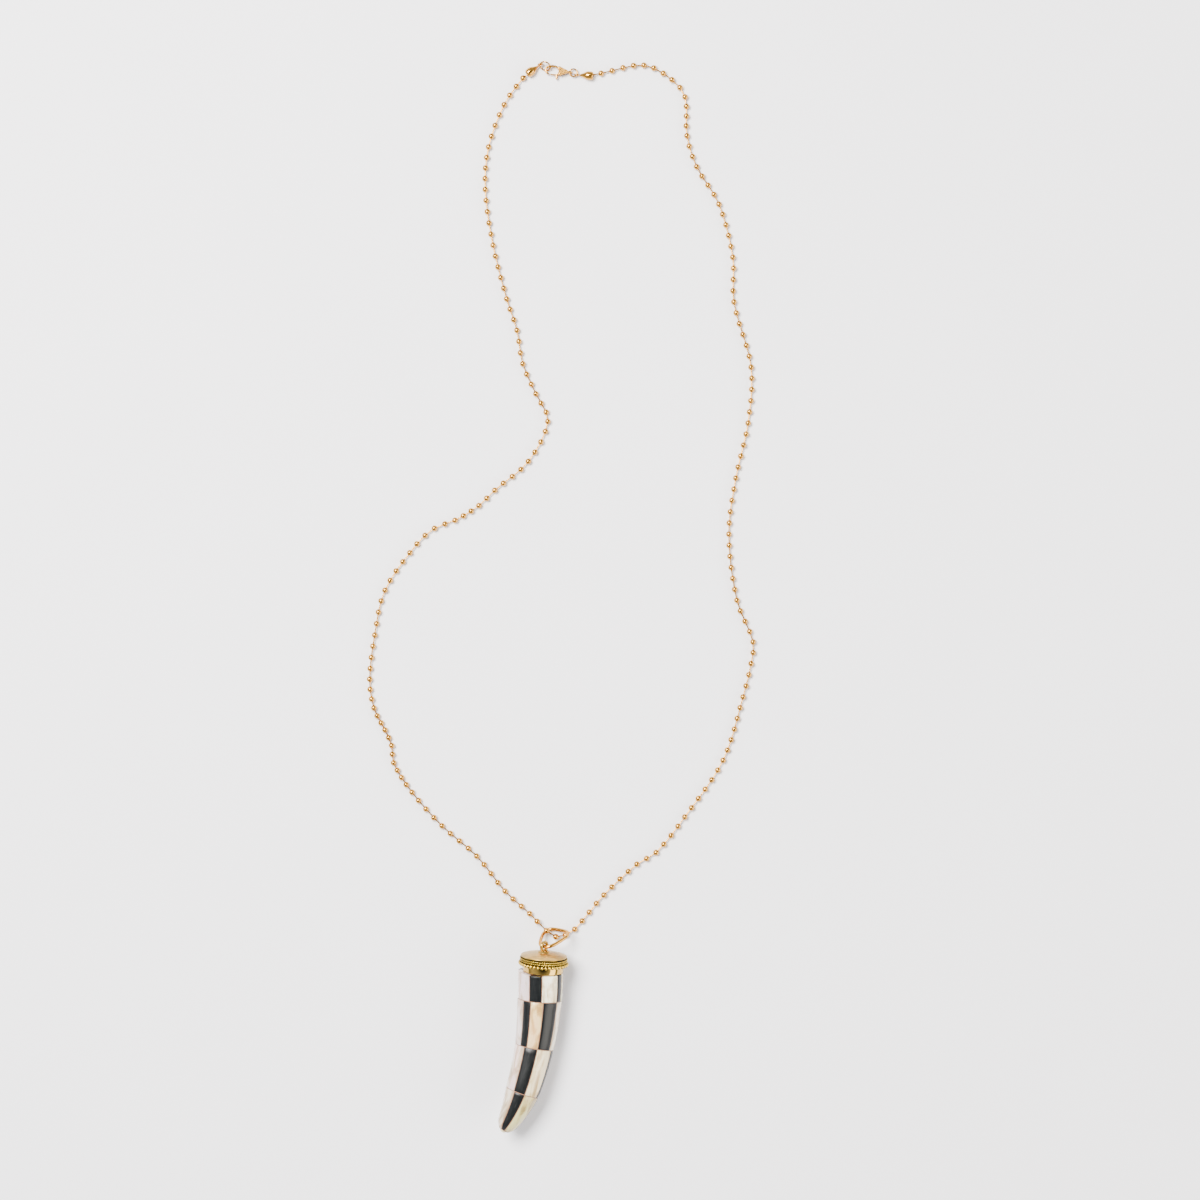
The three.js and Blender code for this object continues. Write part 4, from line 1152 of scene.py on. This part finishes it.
class NECKLACE_OT_horn(bpy.types.Operator):
    """Makes the horn's body, seen as resin in the joints, and its bare tip"""
    bl_idname = "necklace.horn"
    bl_label = "Horn body"

    def execute(self, context):
        stations = horn_stations()
        stub = SLEEVE_RADIUS - SLEEVE_WALL - TILE_SEAT
        cap_axis = (Vector((0, 0, 0)), stub, Vector((0, -1, 0)))
        turn = [2 * pi * j / HORN_SIDES for j in range(HORN_SIDES)]
        rings = [[on_horn(cap_axis, stub, angle, shift) for angle in turn]
                 for shift in (TILE_SEAT - SLEEVE_HEIGHT, TILE_SEAT)]
        for i, station in enumerate(stations):
            tiers = {STRETCHES[max(0, min(k, len(STRETCHES) - 1))][0]
                     for k in ((i - 1) // HORN_STEPS, i // HORN_STEPS)}
            shift = 0 if i else TILE_SEAT + 0.05
            radii = [min(resin_radius(station[1], angle, tier) for tier in tiers) for angle in turn]
            rings.append([on_horn(station, radius, angle, shift) for radius, angle in zip(radii, turn)])
        make_piece("horn_body", loft(rings), "resin", ("horn_core",), PENDANT, sharp_angle=50)
        tip = stations[-1]
        reach = HORN_LENGTH * (1 - sum(row[1] for row in STRETCHES))
        nub = [[on_horn(tip, TIP_SHARE * tip[1] * cos(t), angle, (reach + TIP_SEAT) * sin(t) - TIP_SEAT)
                for angle in turn[::4]] for t in (radians(8 * i) for i in range(11))]
        make_piece("horn_tip", loft(nub), "tip", ("horn_core",), PENDANT, sharp_angle=60)
        return {"FINISHED"}


# Stage

# Half the table's width in metres, and the camera: millimetres of table across the picture, and its height
TABLE_HALF = 4.0
PICTURE_WIDTH = 432
CAMERA_DISTANCE = 1000
CAMERA_HEIGHT = 1001.16
SENSOR = 36

# Lights as name, place, size, watts and tint, aimed at the middle, and the room from floor to ceiling
LIGHTS = (
    ("window", (-0.5, 0.42, 1.2), (0.7, 0.55), 74, "#FFFCF8"),
    ("bounce", (0.95, -0.3, 0.55), (1.2, 0.6), 15, "#FFF8EE"),
)
ROOM = ((0.0, "#8E9096"), (0.45, "#F2F3F6"), (0.8, "#C9CCD2"), (0.97, "#3A3C40"))
ROOM_STRENGTH = 1.15


def area_light(name, place, size, power, tint):
    data = bpy.data.lights.new(name, "AREA")
    data.shape = "RECTANGLE"
    data.size, data.size_y = size
    data.energy = power
    data.color = from_hex(tint)
    light = bpy.data.objects.new(name, data)
    light.location = place
    light.rotation_mode = "QUATERNION"
    light.rotation_quaternion = (-Vector(place)).to_track_quat("-Z", "Y")
    bpy.context.scene.collection.objects.link(light)


class NECKLACE_OT_stage(bpy.types.Operator):
    """Sets the pale table, the soft lights and the camera straight above"""
    bl_idname = "necklace.stage"
    bl_label = "Table, lights and camera"

    def execute(self, context):
        scene = context.scene
        mesh = bpy.data.meshes.new("table_top")
        corners = [(x * TABLE_HALF, y * TABLE_HALF, 0) for x, y in ((-1, -1), (1, -1), (1, 1), (-1, 1))]
        mesh.from_pydata(corners, [], [(0, 1, 2, 3)])
        mesh.materials.append(table_paper())
        table = bpy.data.objects.new("table_top", mesh)
        scene.collection.objects.link(table)

        camera = bpy.data.objects.new("camera", bpy.data.cameras.new("camera"))
        camera.data.sensor_width = SENSOR
        camera.data.lens = SENSOR * CAMERA_DISTANCE / PICTURE_WIDTH
        camera.location = Vector((LAID_OUT.x, LAID_OUT.y, CAMERA_HEIGHT)) * MM
        scene.collection.objects.link(camera)
        scene.camera = camera

        world = bpy.data.worlds.new("soft_room")
        world.use_nodes = True
        scene.world = world
        tree = world.node_tree
        # A soft bright band round the room and a darker ceiling over the table
        coords = put(tree, "TexCoord").outputs["Generated"]
        height = put(tree, "SeparateXYZ", {"Vector": coords}).outputs["Z"]
        room = ramp(tree, height, [(place, from_hex(text)) for place, text in ROOM])
        feed(tree, tree.nodes["Background"], {"Color": room, "Strength": ROOM_STRENGTH})
        for light in LIGHTS:
            area_light(*light)
        return {"FINISHED"}


OPERATORS = (
    NECKLACE_OT_stage, NECKLACE_OT_ball_chain, NECKLACE_OT_rings, NECKLACE_OT_clasp, NECKLACE_OT_bail,
    NECKLACE_OT_cap, NECKLACE_OT_tiles, NECKLACE_OT_horn,
)


class NECKLACE_PT_panel(bpy.types.Panel):
    """Lists the necklace's sizes, colours and makers"""
    bl_idname = "NECKLACE_PT_panel"
    bl_label = "Inlaid horn necklace"
    bl_space_type = "VIEW_3D"
    bl_region_type = "UI"
    bl_category = "Necklace"

    def draw(self, context):
        for group in (context.scene.necklace_sizes, context.scene.necklace_colours):
            box = self.layout.box()
            for name in group.bl_rna.properties.keys():
                if name not in ("rna_type", "name"):
                    box.prop(group, name)
        for operator in OPERATORS:
            self.layout.operator(operator.bl_idname)


CLASSES = (NecklaceSizes, NecklaceColours, *OPERATORS, NECKLACE_PT_panel)


def register():
    for item in CLASSES:
        bpy.utils.register_class(item)
    bpy.types.Scene.necklace_sizes = bpy.props.PointerProperty(type=NecklaceSizes)
    bpy.types.Scene.necklace_colours = bpy.props.PointerProperty(type=NecklaceColours)


def unregister():
    del bpy.types.Scene.necklace_colours
    del bpy.types.Scene.necklace_sizes
    for item in reversed(CLASSES):
        bpy.utils.unregister_class(item)


def main():
    register()
    for operator in OPERATORS:
        group, name = operator.bl_idname.split(".")
        getattr(getattr(bpy.ops, group), name)()


if __name__ == "__main__":
    main()
